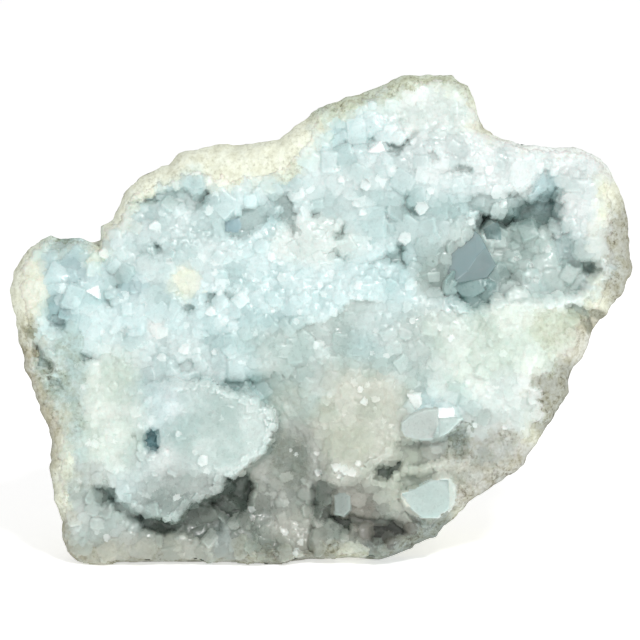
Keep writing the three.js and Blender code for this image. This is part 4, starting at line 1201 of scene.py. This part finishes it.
class NodeSheet:
    """A material's node tree, filled step by step."""

    def __init__(self, name: str) -> None:
        """Make an empty material with a main shader and its output."""
        self.material = bpy.data.materials.new(name)
        self.material.use_nodes = True
        self.tree = self.material.node_tree
        self.shader = self.tree.nodes["Principled BSDF"]
        self.output = self.tree.nodes["Material Output"]

    def add(self, kind: str, settings: dict[str, object] | None = None, **sockets: object) -> bpy.types.Node:
        """Add a node.

        Args:
            kind: Blender's name for the node type.
            settings: Properties of the node itself.
            **sockets: Values or output sockets for its inputs, with _ for a blank.

        Returns:
            The new node.
        """
        made = self.tree.nodes.new(kind)
        for key, value in (settings or {}).items():
            setattr(made, key, value)
        for key, value in sockets.items():
            self.feed(made, key.replace("_", " "), value)
        return made

    def feed(self, node: bpy.types.Node, socket: str | int, value: object) -> None:
        """Set an input of a node.

        Args:
            node: The node.
            socket: Name or number of the input.
            value: A value, or an output to link to it.
        """
        if isinstance(value, Socket):
            self.tree.links.new(value, node.inputs[socket])
        else:
            node.inputs[socket].default_value = value

    def shade(self, **sockets: object) -> None:
        """Set inputs of the main shader, with _ for a blank in their names."""
        for key, value in sockets.items():
            self.feed(self.shader, key.replace("_", " "), value)

    def noise(self, size_mm: float, detail: float = 3.0, roughness: float = 0.6) -> Socket:
        """Add a noise texture.

        Args:
            size_mm: About how wide its lumps are.
            detail: How many finer layers it has.
            roughness: Strength of a layer as a share of the one before.

        Returns:
            The noise, mostly from 0.3 to 0.7.
        """
        place = self.add("ShaderNodeTexCoord")
        made = self.add("ShaderNodeTexNoise", Scale=1.0 / (size_mm * MM), Detail=detail, Roughness=roughness)
        self.tree.links.new(place.outputs["Object"], made.inputs["Vector"])
        return made.outputs["Fac"]

    def ramp(self, value: Socket, stops: Stops) -> Socket:
        """Make a colour follow a value.

        Args:
            value: The value, from 0 to 1.
            stops: Places along it, each with its colour.

        Returns:
            The colour.
        """
        made = self.add("ShaderNodeValToRGB")
        self.tree.links.new(value, made.inputs["Fac"])
        bar = made.color_ramp
        while len(bar.elements) < len(stops):
            bar.elements.new(0.5)
        for element, (place, colour) in zip(bar.elements, stops):
            element.position = place
            element.color = (*colour, 1.0)
        return made.outputs["Color"]

    def ranged(self, value: Socket, start: Pair, end: Pair) -> Socket:
        """Move a value from one range to another.

        Args:
            value: The value.
            start: The range that it has.
            end: The range that it gets.

        Returns:
            The moved value, kept inside its new range.
        """
        made = self.add("ShaderNodeMapRange")
        for socket, number in zip(("From Min", "From Max", "To Min", "To Max"), (*start, *end)):
            made.inputs[socket].default_value = number
        self.tree.links.new(value, made.inputs["Value"])
        return made.outputs["Result"]

    def multiplied(self, first: Socket, second: Socket, share: Socket | float = 1.0) -> Socket:
        """Multiply two colours.

        Args:
            first: The colour to change.
            second: The colour to multiply it by.
            share: How much of that is done, from 0 to 1.

        Returns:
            The product.
        """
        made = self.add("ShaderNodeMix", {"data_type": "RGBA", "blend_type": "MULTIPLY"})
        self.feed(made, 0, share)
        self.tree.links.new(first, made.inputs[6])
        self.tree.links.new(second, made.inputs[7])
        return made.outputs[2]

    def bumped(self, height: Socket, distance_mm: float, strength: float) -> Socket:
        """Return a normal bumped by a height."""
        made = self.add("ShaderNodeBump", Height=height, Distance=distance_mm * MM, Strength=strength)
        return made.outputs["Normal"]

    def sum_or_product(self, kind: str, first: Socket, second: Socket | float) -> Socket:
        """Return the sum (ADD) or the product (MULTIPLY) of two values."""
        made = self.add("ShaderNodeMath", {"operation": kind})
        self.feed(made, 0, first)
        self.feed(made, 1, second)
        return made.outputs[0]

    def grey(self, value: Socket) -> Socket:
        """Return the grey of that lightness."""
        return self.add("ShaderNodeCombineColor", Red=value, Green=value, Blue=value).outputs["Color"]

    def attribute(self, name: str, output: str) -> Socket:
        """Return an output of the mesh attribute with that name."""
        return self.add("ShaderNodeAttribute", {"attribute_name": name}).outputs[output]


@dataclass(frozen=True)
class RockGrain:
    """The sugary grain of rock: broad mottles, and small specks that crowd together in places."""

    mottle_mm: float = 4.5
    speck_mm: float = 1.5
    crowd_mm: float = 8.0
    mottles: Stops = (
        (0.36, (0.70, 0.68, 0.58)), (0.46, (0.88, 0.87, 0.80)),
        (0.56, (0.98, 0.99, 0.99)), (0.68, (1.08, 1.10, 1.12)),
    )
    specks: Stops = (
        (0.34, (0.30, 0.27, 0.21)), (0.44, (0.78, 0.76, 0.69)),
        (0.53, (1.0, 0.99, 0.97)), (0.68, (1.12, 1.13, 1.13)),
    )

    def over(self, sheet: NodeSheet, colour: Socket, strength: Socket) -> Socket:
        """Lay the grain over a ground colour.

        Args:
            sheet: The material that the grain is for.
            colour: The ground colour.
            strength: How strong the grain is, from 0 to 1.

        Returns:
            The grainy colour.
        """
        mottle = sheet.ramp(sheet.noise(self.mottle_mm, 4.0, 0.7), self.mottles)
        speck = sheet.ramp(sheet.noise(self.speck_mm, 3.0, 0.7), self.specks)
        crowd = sheet.ranged(sheet.noise(self.crowd_mm, 2.0), (0.4, 0.62), (0.3, 1.0))
        share = sheet.sum_or_product("MULTIPLY", strength, crowd)
        return sheet.multiplied(sheet.multiplied(colour, mottle, strength), speck, share)


@dataclass(frozen=True)
class MilkyFinish:
    """The crystals grown together: milky right through, with glossy faces and a fine grain.

    gloss is the range of their roughness, and rocky what rock grain adds to it.
    """

    name: str = "milky_crystal"
    fleck_mm: float = 1.8
    flecks: Pair = (0.93, 1.05)
    glow_mm: float = 2.4
    gloss: Pair = (0.24, 0.50)
    rocky: float = 0.5
    grain: RockGrain = RockGrain()

    def build(self) -> bpy.types.Material:
        """Return the material."""
        sheet = NodeSheet(self.name)
        fleck = sheet.ranged(sheet.noise(self.fleck_mm, 4.0, 0.8), (0.3, 0.7), self.flecks)
        tint = sheet.multiplied(sheet.attribute("tint", "Color"), sheet.grey(fleck))
        stony = sheet.attribute("tint", "Alpha")
        dull = sheet.sum_or_product("MULTIPLY", stony, self.rocky)
        gloss = sheet.ranged(sheet.noise(1.3, 1.0), (0.35, 0.65), self.gloss)
        sheet.shade(
            Base_Color=self.grain.over(sheet, tint, stony),
            Roughness=sheet.sum_or_product("ADD", dull, gloss),
            IOR=1.52,
            Subsurface_Weight=1.0,
            Subsurface_Scale=self.glow_mm * MM,
            Subsurface_Radius=(0.8, 1.0, 1.0),
        )
        return sheet.material


@dataclass(frozen=True)
class ClearCrystalFinish:
    """A large crystal: see-through, with a colour that deepens with its thickness, and partly clouded."""

    name: str = "blue_clear_crystal"
    absorbs: Triple = (0.52, 0.69, 0.73)
    density: float = 18.0
    cloud: float = 0.42

    def build(self) -> bpy.types.Material:
        """Return the material."""
        sheet = NodeSheet(self.name)
        sheet.shade(
            Base_Color=sheet.attribute("tint", "Color"),
            Roughness=sheet.ranged(sheet.noise(5.0, 3.0), (0.35, 0.7), (0.02, 0.12)),
            IOR=1.62,
            Transmission_Weight=1.0 - self.cloud,
            Subsurface_Weight=1.0,
            Subsurface_Scale=3.0 * MM,
            Subsurface_Radius=(0.8, 1.0, 1.0),
            Normal=sheet.bumped(sheet.noise(3.0, 2.0), 0.25, 0.25),
        )
        depth = sheet.add("ShaderNodeVolumeAbsorption", Color=(*self.absorbs, 1.0), Density=self.density)
        sheet.tree.links.new(depth.outputs["Volume"], sheet.output.inputs["Volume"])
        return sheet.material


@dataclass(frozen=True)
class RindFinish:
    """The sugary outer rock: cream and tan with brown and grey specks."""

    name: str = "rind_rock"
    grain: RockGrain = RockGrain()

    def build(self) -> bpy.types.Material:
        """Return the material."""
        sheet = NodeSheet(self.name)
        tint, strength = sheet.attribute("tint", "Color"), sheet.attribute("tint", "Alpha")
        sheet.shade(
            Base_Color=self.grain.over(sheet, tint, strength),
            Roughness=sheet.ranged(sheet.noise(1.0, 2.0), (0.3, 0.7), (0.45, 0.9)),
            Normal=sheet.bumped(sheet.noise(1.0, 4.0, 0.7), 0.4, 0.6),
        )
        return sheet.material


# ---- slabs and colours of the face


# Where the bare rock has a colour other than cream.
ROCK_ZONES = {
    "left_lobe": Zone((-120, 108), (12, 26), Tone.CREAM),
    "left_flank": Zone((-113, 66), (14, 34), Tone.TAN),
    "upper_shoulder": Zone((-55, 158), (34, 16), Tone.CREAM),
    "top": Zone((20, 190), (50, 12), Tone.STRAW),
    "upper_right": Zone((98, 166), (38, 12), Tone.SNOW),
    "right_flank": Zone((122, 124), (12, 26), Tone.FLINT),
    "lower_right": Zone((104, 88), (14, 16), Tone.SAND),
    "lip": Zone((107, 99), (9, 5), Tone.TAN),
    "right_patch": Zone((94, 68), (14, 16), Tone.STONE),
    "low_right": Zone((70, 36), (22, 16), Tone.DOVE),
    "foot_right": Zone((36, 9), (28, 14), Tone.SLATE),
    "foot": Zone((-36, 2), (62, 7), Tone.STONE),
    "foot_left": Zone((-96, 8), (14, 14), Tone.TAN),
}


@dataclass(frozen=True)
class Colouring:
    """How the colours of rock and crystals follow their place and the shape of the face.

    worn darkens the rock lower down and away from the open face, and bare turns its back to one tone.
    Painted shade darkens the clefts and painted light whitens what stands out. spot is how much of a
    crystal's colour is that of the spot and not of its middle. Crystals differ by the first share of uneven,
    and by the second more where they are dark.
    """

    waver_mm: float = 22.0
    waver_seed: int = 90
    rock_zone: Ramp = Ramp(1.15, 0.5)
    worn: float = 0.24
    darkening_depth: Ramp = Ramp(-0.5, 6.0)
    darkening_height: Ramp = Ramp(112.0, 20.0)
    bare: float = 0.75
    bare_depth: Ramp = Ramp(-13.0, 14.0)
    cleft: Triple = (0.72, 0.79, 0.78)
    cleft_depth: Ramp = Ramp(0.0, 3.5)
    proud_painted_light: float = 0.06
    proud_height: Ramp = Ramp(0.0, 3.0)
    spot: float = 0.4
    uneven: Pair = (0.10, 0.24)
    uneven_dark: Ramp = Ramp(0.62, 0.35)
    white_ones: float = 0.04
    whitened: float = 0.3
    pale_grain: float = 0.55
    pale: Ramp = Ramp(0.5, 0.3)
    lightest: float = 0.97

    def rock(self, places: Array) -> Array:
        """Work out the colour of the rock.

        Args:
            places: Rows of (u, v, w).

        Returns:
            A colour for each place.
        """
        u, v, w = places.T
        waver = layered_noise(places, self.waver_mm, 3, self.waver_seed)
        tint = np.broadcast_to(np.array(Tone.CREAM.value), (len(places), 3))
        for zone in ROCK_ZONES.values():
            share = self.rock_zone.down(zone.away(u, v) + 0.25 * waver)
            tint = mix(tint, np.array(zone.tint.value), share[:, None])
        # Darker lower down the rock and away from the open face.
        worn = self.darkening_depth.down(w) * self.darkening_height.down(v)
        tint = tint * (1.0 - self.worn * worn * (1.0 + 0.5 * waver))[:, None]
        bare = self.bare * self.bare_depth.down(w) * (0.6 + 0.4 * waver)
        return mix(tint, np.array(Tone.TAN.value), bare[:, None])

    def face(self, relief: Relief, u: Array, v: Array) -> Array:
        """Work out the colour of the open face.

        Args:
            relief: The relief of the open face.
            u: Places across.
            v: Places up.

        Returns:
            A colour for each place: painted shade in the clefts, painted light on what stands out, rock
            at the rim.
        """
        tint = relief.sample("tint", u, v)
        cavity = relief.sample("cavity", u, v)[..., None]
        # Painted shade in the clefts, then painted light on what stands out.
        tint = mix(tint, tint * np.array(self.cleft), self.cleft_depth.down(cavity))
        tint = whiter(tint, self.proud_painted_light * self.proud_height.up(cavity))
        rock = self.rock(np.stack([u, v, relief.sample("depth", u, v)], axis=1))
        # The forms' painted shade darkens the rock as well.
        rock = rock * relief.sample("shaded", u, v)
        return np.clip(mix(tint, rock, relief.sample("rock", u, v)[..., None]), 0.0, self.lightest)

    def grain(self, tint: Array, rock: Array) -> Array:
        """Return how strong the rock grain shows: less where the rock is pale."""
        return rock * (1.0 - self.pale_grain * self.pale.up(tint.mean(axis=-1)))

    def crystals(self, relief: Relief, u: Array, v: Array) -> Array:
        """Work out the colours of the crystals.

        Args:
            relief: The relief of the open face.
            u: Places across.
            v: Places up.

        Returns:
            For each place the colour of its crystal, and the strength of rock grain in it.
        """
        cell = relief.cell(u, v)
        own = relief.fields["own"][cell][:, None]
        home = relief.fields["home_u"][cell], relief.fields["home_v"][cell]
        tint = mix(self.face(relief, *home), self.face(relief, u, v), self.spot)
        alike, more = self.uneven
        uneven = alike + more * self.uneven_dark.down(tint.mean(axis=-1, keepdims=True))
        tint = tint * (1.0 + uneven * (own - 0.5))
        tint = whiter(tint, self.whitened * (own > 1.0 - self.white_ones))
        chosen = relief.fields["face"][cell]
        for number, face in enumerate(relief.faces):
            on = chosen == number
            tint[on] = face.tint.value if face.tint else mix(tint[on], np.array(WHITE), face.pale)
        rock = np.maximum(relief.sample("rock", *home), relief.sample("stony", *home))
        grain = self.grain(tint, rock) * (chosen < 0)
        return np.concatenate([np.clip(tint, 0.0, self.lightest), grain[:, None]], axis=1)


def open_edges(triangles: Array) -> Array:
    """Find the edges that only one triangle has.

    Args:
        triangles: Three corner numbers in each row.

    Returns:
        The two corner numbers of each such edge, in its triangle's direction.
    """
    edges = np.concatenate([triangles[:, [0, 1]], triangles[:, [1, 2]], triangles[:, [2, 0]]])
    size = int(triangles.max()) + 1
    forward = edges[:, 0].astype(np.int64) * size + edges[:, 1]
    backward = edges[:, 1].astype(np.int64) * size + edges[:, 0]
    return edges[~np.isin(forward, backward)]


@dataclass(frozen=True)
class ReliefSlab:
    """A closed slab of the face: its fine relief in front, a coarse sheet behind, and walls between them.

    Where edge_mm is given, the outer wall is drawn on to the line that far outside the stone's edge, from
    catch_mm inside it on, but not at the foot. Where the slab meets its neighbour, it sinks by dip_mm.
    """

    thick_mm: float
    coarse_mm: float = 5.0
    edge_mm: float | None = None
    catch_mm: float = 0.8
    foot: Ramp = Ramp(5.0, 4.0)
    dip_mm: float = 0.5
    dip_ramp: Ramp = Ramp(0.5, 1.6)

    def solid(self, relief: Relief, chosen: Array) -> tuple[Array, Array]:
        """Build the slab.

        Args:
            relief: The relief of the open face.
            chosen: True at the grid points that the slab covers.

        Returns:
            Corners in face millimetres, and triangles.
        """
        number = np.arange(chosen.size).reshape(chosen.shape)
        cells = chosen[:-1, :-1] & chosen[1:, :-1] & chosen[:-1, 1:] & chosen[1:, 1:]
        a, b = number[:-1, :-1][cells], number[:-1, 1:][cells]
        c, d = number[1:, 1:][cells], number[1:, :-1][cells]
        flip = (a + a // chosen.shape[1]) % 2 == 0
        first = np.where(flip[:, None], np.stack([a, b, c], axis=1), np.stack([a, b, d], axis=1))
        second = np.where(flip[:, None], np.stack([a, c, d], axis=1), np.stack([b, c, d], axis=1))
        front = np.concatenate([first, second])
        used = np.unique(front)
        front = np.searchsorted(used, front)
        fields = [relief.fields[name].ravel()[used] for name in ("u", "v", "surface")]
        points = np.stack(fields, axis=1)
        rim = open_edges(front)
        ring = np.unique(rim)
        behind = len(points) + np.searchsorted(ring, rim)
        i, j = rim.T
        ib, jb = behind.T
        walls = np.concatenate([np.stack([j, i, ib], axis=1), np.stack([j, ib, jb], axis=1)])
        sheet, back = self._back(relief, points[ring][:, :2], np.searchsorted(ring, rim), cells)
        if self.edge_mm is not None:
            points[ring, :2] = sheet[:len(ring), :2] = self._on_edge(relief, points[ring])
        points[:, 2] = np.maximum(points[:, 2], relief.lowest(points[:, 1]))
        return np.concatenate([points, sheet]), np.concatenate([front, walls, back + len(points)])

    def _on_edge(self, relief: Relief, ring: Array) -> Array:
        """Move what lies near the stone's edge on to one smooth line.

        Args:
            relief: The relief of the open face.
            ring: The corners round the slab, in face millimetres.

        Returns:
            Their places across and up.
        """
        u, v = ring[:, 0], ring[:, 1]
        for _ in range(2):
            edge = relief.sample("edge", u, v)
            step = np.where(edge > self.edge_mm - self.catch_mm, self.edge_mm - edge, 0.0) * self.foot.up(v)
            u, v = relief.across_edge(u, v, step)
        return np.stack([u, v], axis=1)

    def _back(self, relief: Relief, ring: Array, edges: Array, cells: Array) -> tuple[Array, Array]:
        """Build the coarse sheet behind.

        Args:
            relief: The relief of the open face.
            ring: Places across and up of the corners round the slab.
            edges: The pairs of them that are joined.
            cells: True in the grid cells that the slab covers.

        Returns:
            Corners, the ring's first and in the same order, and triangles.
        """
        inner = np.pad(relief.blurred(cells.astype(float), relief.soft_mm) > 0.999, ((0, 1), (0, 1)))
        stride = int(self.coarse_mm / relief.step)
        picked = np.s_[::stride, ::stride]
        inside = inner[picked]
        spread = np.stack([relief.fields["u"][picked][inside], relief.fields["v"][picked][inside]], axis=1)
        flat = np.concatenate([ring, spread])
        result = delaunay_2d_cdt([Vector(p) for p in flat], edges.tolist(), [], 1, 1e-6)
        places, faces = np.array([tuple(p) for p in result[0]]), np.array(result[2])
        middle = places[faces].mean(axis=1)
        faces = faces[cells[relief.cell(middle[:, 0], middle[:, 1])]]
        depth = relief.sample("floor", places[:, 0], places[:, 1]) - self.thick_mm
        depth = np.maximum(depth, relief.lowest(places[:, 1]))
        a, b, c = (places[faces[:, k]] for k in range(3))
        turning = (b - a)[:, 0] * (c - a)[:, 1] - (b - a)[:, 1] * (c - a)[:, 0]
        faces[turning > 0] = faces[turning > 0][:, ::-1]
        return np.concatenate([places, depth[:, None]], axis=1), faces


# ---- the rind


@dataclass
class Rind:
    """The rock of the geode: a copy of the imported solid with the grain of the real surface.

    lumps are the width and height of its roughness, which is less by the share calm near the open face. The
    band of rock round the face starts inside_mm within the rim's inner line and ends outside_mm from the
    stone's edge. The shell keeps seat_mm under the crystals' ground and under_rim_mm under the rim's. Below
    the rim it follows the rim's edge, first at the one distance of follows and deeper down at the other.
    """

    voxel_mm: float = 1.4
    lumps: tuple[Pair, ...] = ((14.0, 1.1), (5.0, 0.75), (2.6, 0.6))
    lump_seed: int = 60
    flat_foot_mm: float = 1.2
    calm: float = 0.8
    calm_front: Ramp = Ramp(-18.0, 8.0)
    free_height: Ramp = Ramp(3.0, 4.0)
    rim_slab: ReliefSlab = ReliefSlab(4.0, edge_mm=-0.1)
    inside_mm: float = 1.4
    outside_mm: float = -0.1
    rim_foot_mm: float = 1.0
    seat_mm: float = 4.0
    under_rim_mm: float = 1.5
    seat_edge: Ramp = Ramp(-0.6, 1.2)
    follows: Pair = (-0.8, -0.2)
    follows_depth: Ramp = Ramp(1.5, 1.5)
    drawn_depth: Ramp = Ramp(16.0, 6.0)
    drawn_from: Ramp = Ramp(-3.0, 1.5)
    drawn_to_mm: float = 4.0
    most_drawn_mm: float = 3.0
    colouring: Colouring = Colouring()

    def build(self, relief: Relief) -> list[Piece]:
        """Build the rind.

        Args:
            relief: The relief of the open face.

        Returns:
            The shell, and the band of grainy rock round the open face, riding on the stone's body.
        """
        shell = self._remeshed()
        self._roughen(shell, relief)
        self._colour(shell)
        rim = self._rim(relief)
        material = RindFinish().build()
        for piece in (shell, rim):
            piece.data.materials.clear()
            piece.data.materials.append(material)
            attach(piece, BODY)
        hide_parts("rind")
        return [shell, rim]

    def _rim(self, relief: Relief) -> Piece:
        """Build the band of rock between the crystals and the edge of the stone.

        Args:
            relief: The relief of the open face.

        Returns:
            The band.
        """
        chosen = (relief.fields["inner"] >= -self.inside_mm) & (relief.fields["edge"] < self.outside_mm)
        points, triangles = self.rim_slab.solid(relief, chosen & relief.standing(self.rim_foot_mm))
        inner = relief.sample("inner", points[:, 0], points[:, 1])
        points[:, 2] -= self.rim_slab.dip_mm * self.rim_slab.dip_ramp.down(inner)
        tint = self.colouring.face(relief, points[:, 0], points[:, 1])
        grain = self.colouring.grain(tint, np.ones(len(tint)))
        return make_object("rind_rim", PLANE.to_world(points), triangles, np.column_stack([tint, grain]))

    def _remeshed(self) -> Piece:
        """Return a new object with the solid's shape in small, even faces."""
        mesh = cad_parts["rind"].data.copy()
        shell = placed("rind_shell", mesh)
        remesh = shell.modifiers.new("even", "REMESH")
        remesh.mode = "VOXEL"
        remesh.voxel_size = self.voxel_mm * MM
        remesh.use_smooth_shade = True
        smooth = shell.modifiers.new("worn", "SMOOTH")
        smooth.factor = 0.5
        smooth.iterations = 3
        shell.data = modified(shell)
        bpy.data.meshes.remove(mesh)
        return shell

    def _roughen(self, shell: Piece, relief: Relief) -> None:
        """Push the surface in and out, and keep the foot flat and the seat under the crystals.

        Args:
            shell: The piece to change.
            relief: The relief of the open face.
        """
        place, normal = corner_values(shell, "co"), corner_values(shell, "normal")
        swing = np.zeros(len(place))
        for number, (size, height) in enumerate(self.lumps):
            swing += height * smooth_noise(place / MM, size, self.lump_seed + number)
        low, high = (np.array(corner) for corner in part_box("rind"))
        swing = swing * (1.0 - self.calm * self.calm_front.up(PLANE.to_face(place)[:, 2]))
        hold = ease(place[:, 2] / (self.flat_foot_mm * MM))
        place = place + normal * (swing * hold * MM)[:, None]
        free = self.free_height.up(place[:, 2] / MM)
        place = PLANE.to_world(self._seated(PLANE.to_face(place), free, relief))
        place[:, 2] = np.maximum(place[:, 2], 0.0)
        place[:, :2] = np.clip(place[:, :2], low[:2], high[:2])
        shell.data.vertices.foreach_set("co", place.astype(np.float32).ravel())
        shell.data.update()

    def _seated(self, seat: Array, share: Array, relief: Relief) -> Array:
        """Keep the shell under the crystals and the rim, and let it come out from under the rim's edge.

        Args:
            seat: Corners of the shell in face millimetres.
            share: How far each corner may be moved along the face.
            relief: The relief of the open face.

        Returns:
            The moved corners.
        """
        u, v, w = seat.T
        edge, depth = relief.sample("edge", u, v), relief.sample("depth", u, v)
        deeper = relief.sample("floor", u, v) - self.seat_mm
        under = mix(depth - self.under_rim_mm, deeper, self.seat_edge.down(edge))
        w = np.where(edge < relief.crystals_end_mm, np.minimum(w, under), w)
        below = depth - w
        goal = mix(*self.follows, self.follows_depth.up(below))
        drawn = share * self.drawn_depth.down(below) * self.drawn_from.up(edge) * (edge < self.drawn_to_mm)
        step = np.clip(goal - edge, -self.most_drawn_mm, self.most_drawn_mm) * drawn
        return np.stack([*relief.across_edge(u, v, step), w], axis=1)

    def _colour(self, shell: Piece) -> None:
        """Give every corner its rock colour."""
        tint = self.colouring.rock(PLANE.to_face(corner_values(shell, "co")))
        dye(shell.data, np.column_stack([tint, self.colouring.grain(tint, np.ones(len(tint)))]), "POINT")


# ---- the crust


@dataclass
class CrystalCrust:
    """The crystals grown together over the open face, as one piece.

    They go on for under_rim_mm under the rim, and end inset_mm inside the stone's edge and foot_mm over the
    ground.
    """

    slab: ReliefSlab = ReliefSlab(9.0, dip_ramp=Ramp(-0.5, 1.6))
    under_rim_mm: float = 1.6
    inset_mm: float = 0.9
    foot_mm: float = 0.8
    most_triangles: int = 192_000
    colouring: Colouring = Colouring()

    def build(self, relief: Relief) -> Piece:
        """Build the crust.

        Args:
            relief: The relief of the open face.

        Returns:
            The dressed piece, riding on the stone's body.
        """
        chosen = (relief.fields["inner"] < self.under_rim_mm) & (relief.fields["edge"] < -self.inset_mm)
        points, triangles = self.slab.solid(relief, chosen & relief.standing(self.foot_mm))
        inner = relief.sample("inner", points[:, 0], points[:, 1])
        points[:, 2] -= self.slab.dip_mm * self.slab.dip_ramp.up(inner)
        piece = make_object("crystal_bed", PLANE.to_world(points), triangles)
        self._thin_out(piece, len(triangles))
        self._colour(piece, relief)
        piece.data.materials.append(MilkyFinish().build())
        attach(piece, BODY)
        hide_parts("crystal_crust")
        return piece

    def _thin_out(self, piece: Piece, count: int) -> None:
        """Join triangles that lie in one crystal face until few enough are left.

        Args:
            piece: The piece to thin out.
            count: How many triangles it has.
        """
        thin = piece.modifiers.new("thin", "DECIMATE")
        thin.ratio = min(1.0, self.most_triangles / count)
        old, piece.data = piece.data, modified(piece)
        bpy.data.meshes.remove(old)

    def _colour(self, piece: Piece, relief: Relief) -> None:
        """Give every triangle its colour.

        Args:
            piece: The piece to dye.
            relief: The relief of the open face.
        """
        corner = np.empty(len(piece.data.loops), np.int32)
        piece.data.loops.foreach_get("vertex_index", corner)
        middle = PLANE.to_face(corner_values(piece, "co"))[corner.reshape(-1, 3)].mean(axis=1)
        colours = self.colouring.crystals(relief, middle[:, 0], middle[:, 1])
        dye(piece.data, np.repeat(colours, 3, axis=0), "CORNER")


# ---- the large crystal


@dataclass(frozen=True)
class LargeCrystal:
    """A crystal large enough to be known by itself, given by the corners of its faces.

    Its faces are dyed by tint, and those that look to the right, towards the key light, by a darker tint:
    painted shade. Faces that turn by less than flat_deg from each other are one.
    """

    name: str
    corners: tuple[Triple, ...]
    tint: Triple = (0.58, 0.74, 0.76)
    right_shaded_tint: Triple = (0.42, 0.57, 0.58)
    looks_right: Ramp = Ramp(0.0, 0.2)
    bevel_mm: float = 0.25
    flat_deg: float = 5.0

    def build(self) -> Piece:
        """Build the crystal, riding on the stone's body."""
        piece = placed(self.name, self._worn())
        across = np.array([face.normal.x for face in piece.data.polygons])
        # Painted shade: faces that look right, towards the key light, are dyed darker.
        tints = mix(np.array(self.tint), np.array(self.right_shaded_tint), self.looks_right.up(across)[:, None])
        counts = [face.loop_total for face in piece.data.polygons]
        dye(piece.data, np.repeat(np.column_stack([tints, np.ones(len(tints))]), counts, axis=0), "CORNER")
        piece.data.materials.append(ClearCrystalFinish().build())
        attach(piece, BODY)
        return piece

    def _worn(self) -> bpy.types.Mesh:
        """Return the shape that the corners span, with slightly worn edges."""
        work = bmesh.new()
        for place in PLANE.to_world(np.array(self.corners)):
            work.verts.new(place)
        bmesh.ops.convex_hull(work, input=work.verts)
        flat = math.radians(self.flat_deg)
        bmesh.ops.dissolve_limit(work, angle_limit=flat, verts=work.verts, edges=work.edges)
        bmesh.ops.recalc_face_normals(work, faces=work.faces)
        bmesh.ops.bevel(work, geom=list(work.edges), offset=self.bevel_mm * MM, segments=1, affect="EDGES")
        mesh = bpy.data.meshes.new(self.name)
        work.to_mesh(mesh)
        work.free()
        return mesh


BLUE_GIANT = LargeCrystal("blue_giant", (
    (61.5, 123.5, -1), (61.2, 134.5, -3.5), (50, 128, -4.8), (48.8, 121, -3.8), (51.5, 113, -2.0),
    (58, 118.3, -1.1), (65.6, 127.8, -1.5), (63.6, 132.2, -2.7), (69.8, 120.4, -3.6), (66, 115.5, -4.0),
    (60, 130, -16), (53, 126, -16), (53, 116, -16), (65, 119, -16)))


# ---- the stage


@dataclass
class Stage:
    """The floor, the light and the camera. The target is a place on the face; the key stands in metres."""

    target: Triple = (-0.6, 98.8, -8.0)
    view_width_mm: float = 256.0
    lens_mm: float = 200.0
    sensor_mm: float = 36.0
    floor_half_m: float = 30.0
    key_from: Triple = (0.45, -1.1, 1.25)
    key_radius_m: float = 0.15
    key_power: float = 13.5
    world_strength: float = 0.49
    paper: Pair = (0.94, 0.96)
    paper_glow: float = 0.52

    def build(self) -> None:
        """Build the floor, the lights and the camera."""
        self._floor()
        self._world()
        self._softbox()
        self._camera()
        settings = bpy.context.scene.view_settings
        settings.view_transform = "Standard"
        settings.look = "None"

    def _floor(self) -> None:
        """Lay a wide pale floor under the stone."""
        half = self.floor_half_m
        points = np.array([(-half, -half, 0), (half, -half, 0), (half, half, 0), (-half, half, 0)], float)
        floor = make_object("floor", points, np.array([[0, 1, 2], [0, 2, 3]]))
        sheet = NodeSheet("pale_floor")
        paper = sheet.ranged(sheet.noise(40.0, 2.0), (0.3, 0.7), self.paper)
        sheet.shade(Base_Color=sheet.grey(paper), Roughness=0.9, Emission_Color=(1, 1, 1, 1),
                    Emission_Strength=self.paper_glow)
        floor.data.materials.append(sheet.material)

    def _world(self) -> None:
        """Fill the room with even white light."""
        world = bpy.data.worlds.new("white_room")
        world.use_nodes = True
        background = world.node_tree.nodes["Background"]
        background.inputs["Color"].default_value = (1.0, 1.0, 1.0, 1.0)
        background.inputs["Strength"].default_value = self.world_strength
        bpy.context.scene.world = world

    def _softbox(self) -> None:
        """Hang a round softbox that faces the middle of the stone."""
        light = bpy.data.lights.new("key_softbox", "AREA")
        light.shape = "DISK"
        light.size = 2.0 * self.key_radius_m
        light.energy = self.key_power
        lamp = placed("key_softbox", light)
        middle = Vector(PLANE.to_world(np.array(self.target)))
        lamp.location = self.key_from
        lamp.rotation_euler = (middle - Vector(self.key_from)).to_track_quat("-Z", "Y").to_euler()

    def _camera(self) -> None:
        """Stand the camera squarely in front of the open face."""
        lens = bpy.data.cameras.new("camera")
        lens.lens = self.lens_mm
        lens.sensor_width = self.sensor_mm
        away = self.view_width_mm * self.lens_mm / self.sensor_mm
        camera = placed("camera", lens)
        u, v, w = self.target
        place = PLANE.to_world(np.array([u, v, w + away]))
        camera.matrix_world = Matrix.Translation(Vector(place)) @ PLANE.turn().to_4x4()
        bpy.context.scene.camera = camera


def main() -> None:
    """Build the geode and its stage, and report each piece."""
    logging.basicConfig(level=logging.INFO, format="%(message)s")
    Stage().build()
    relief = Relief()
    pieces = [*Rind().build(relief), CrystalCrust().build(relief), BLUE_GIANT.build()]
    for piece in pieces:
        piece.data.calc_loop_triangles()
        log.info("%s: %d triangles", piece.name, len(piece.data.loop_triangles))
    log.info("total: %d triangles", sum(len(p.data.loop_triangles) for p in pieces))


if __name__ == "__main__":
    main()
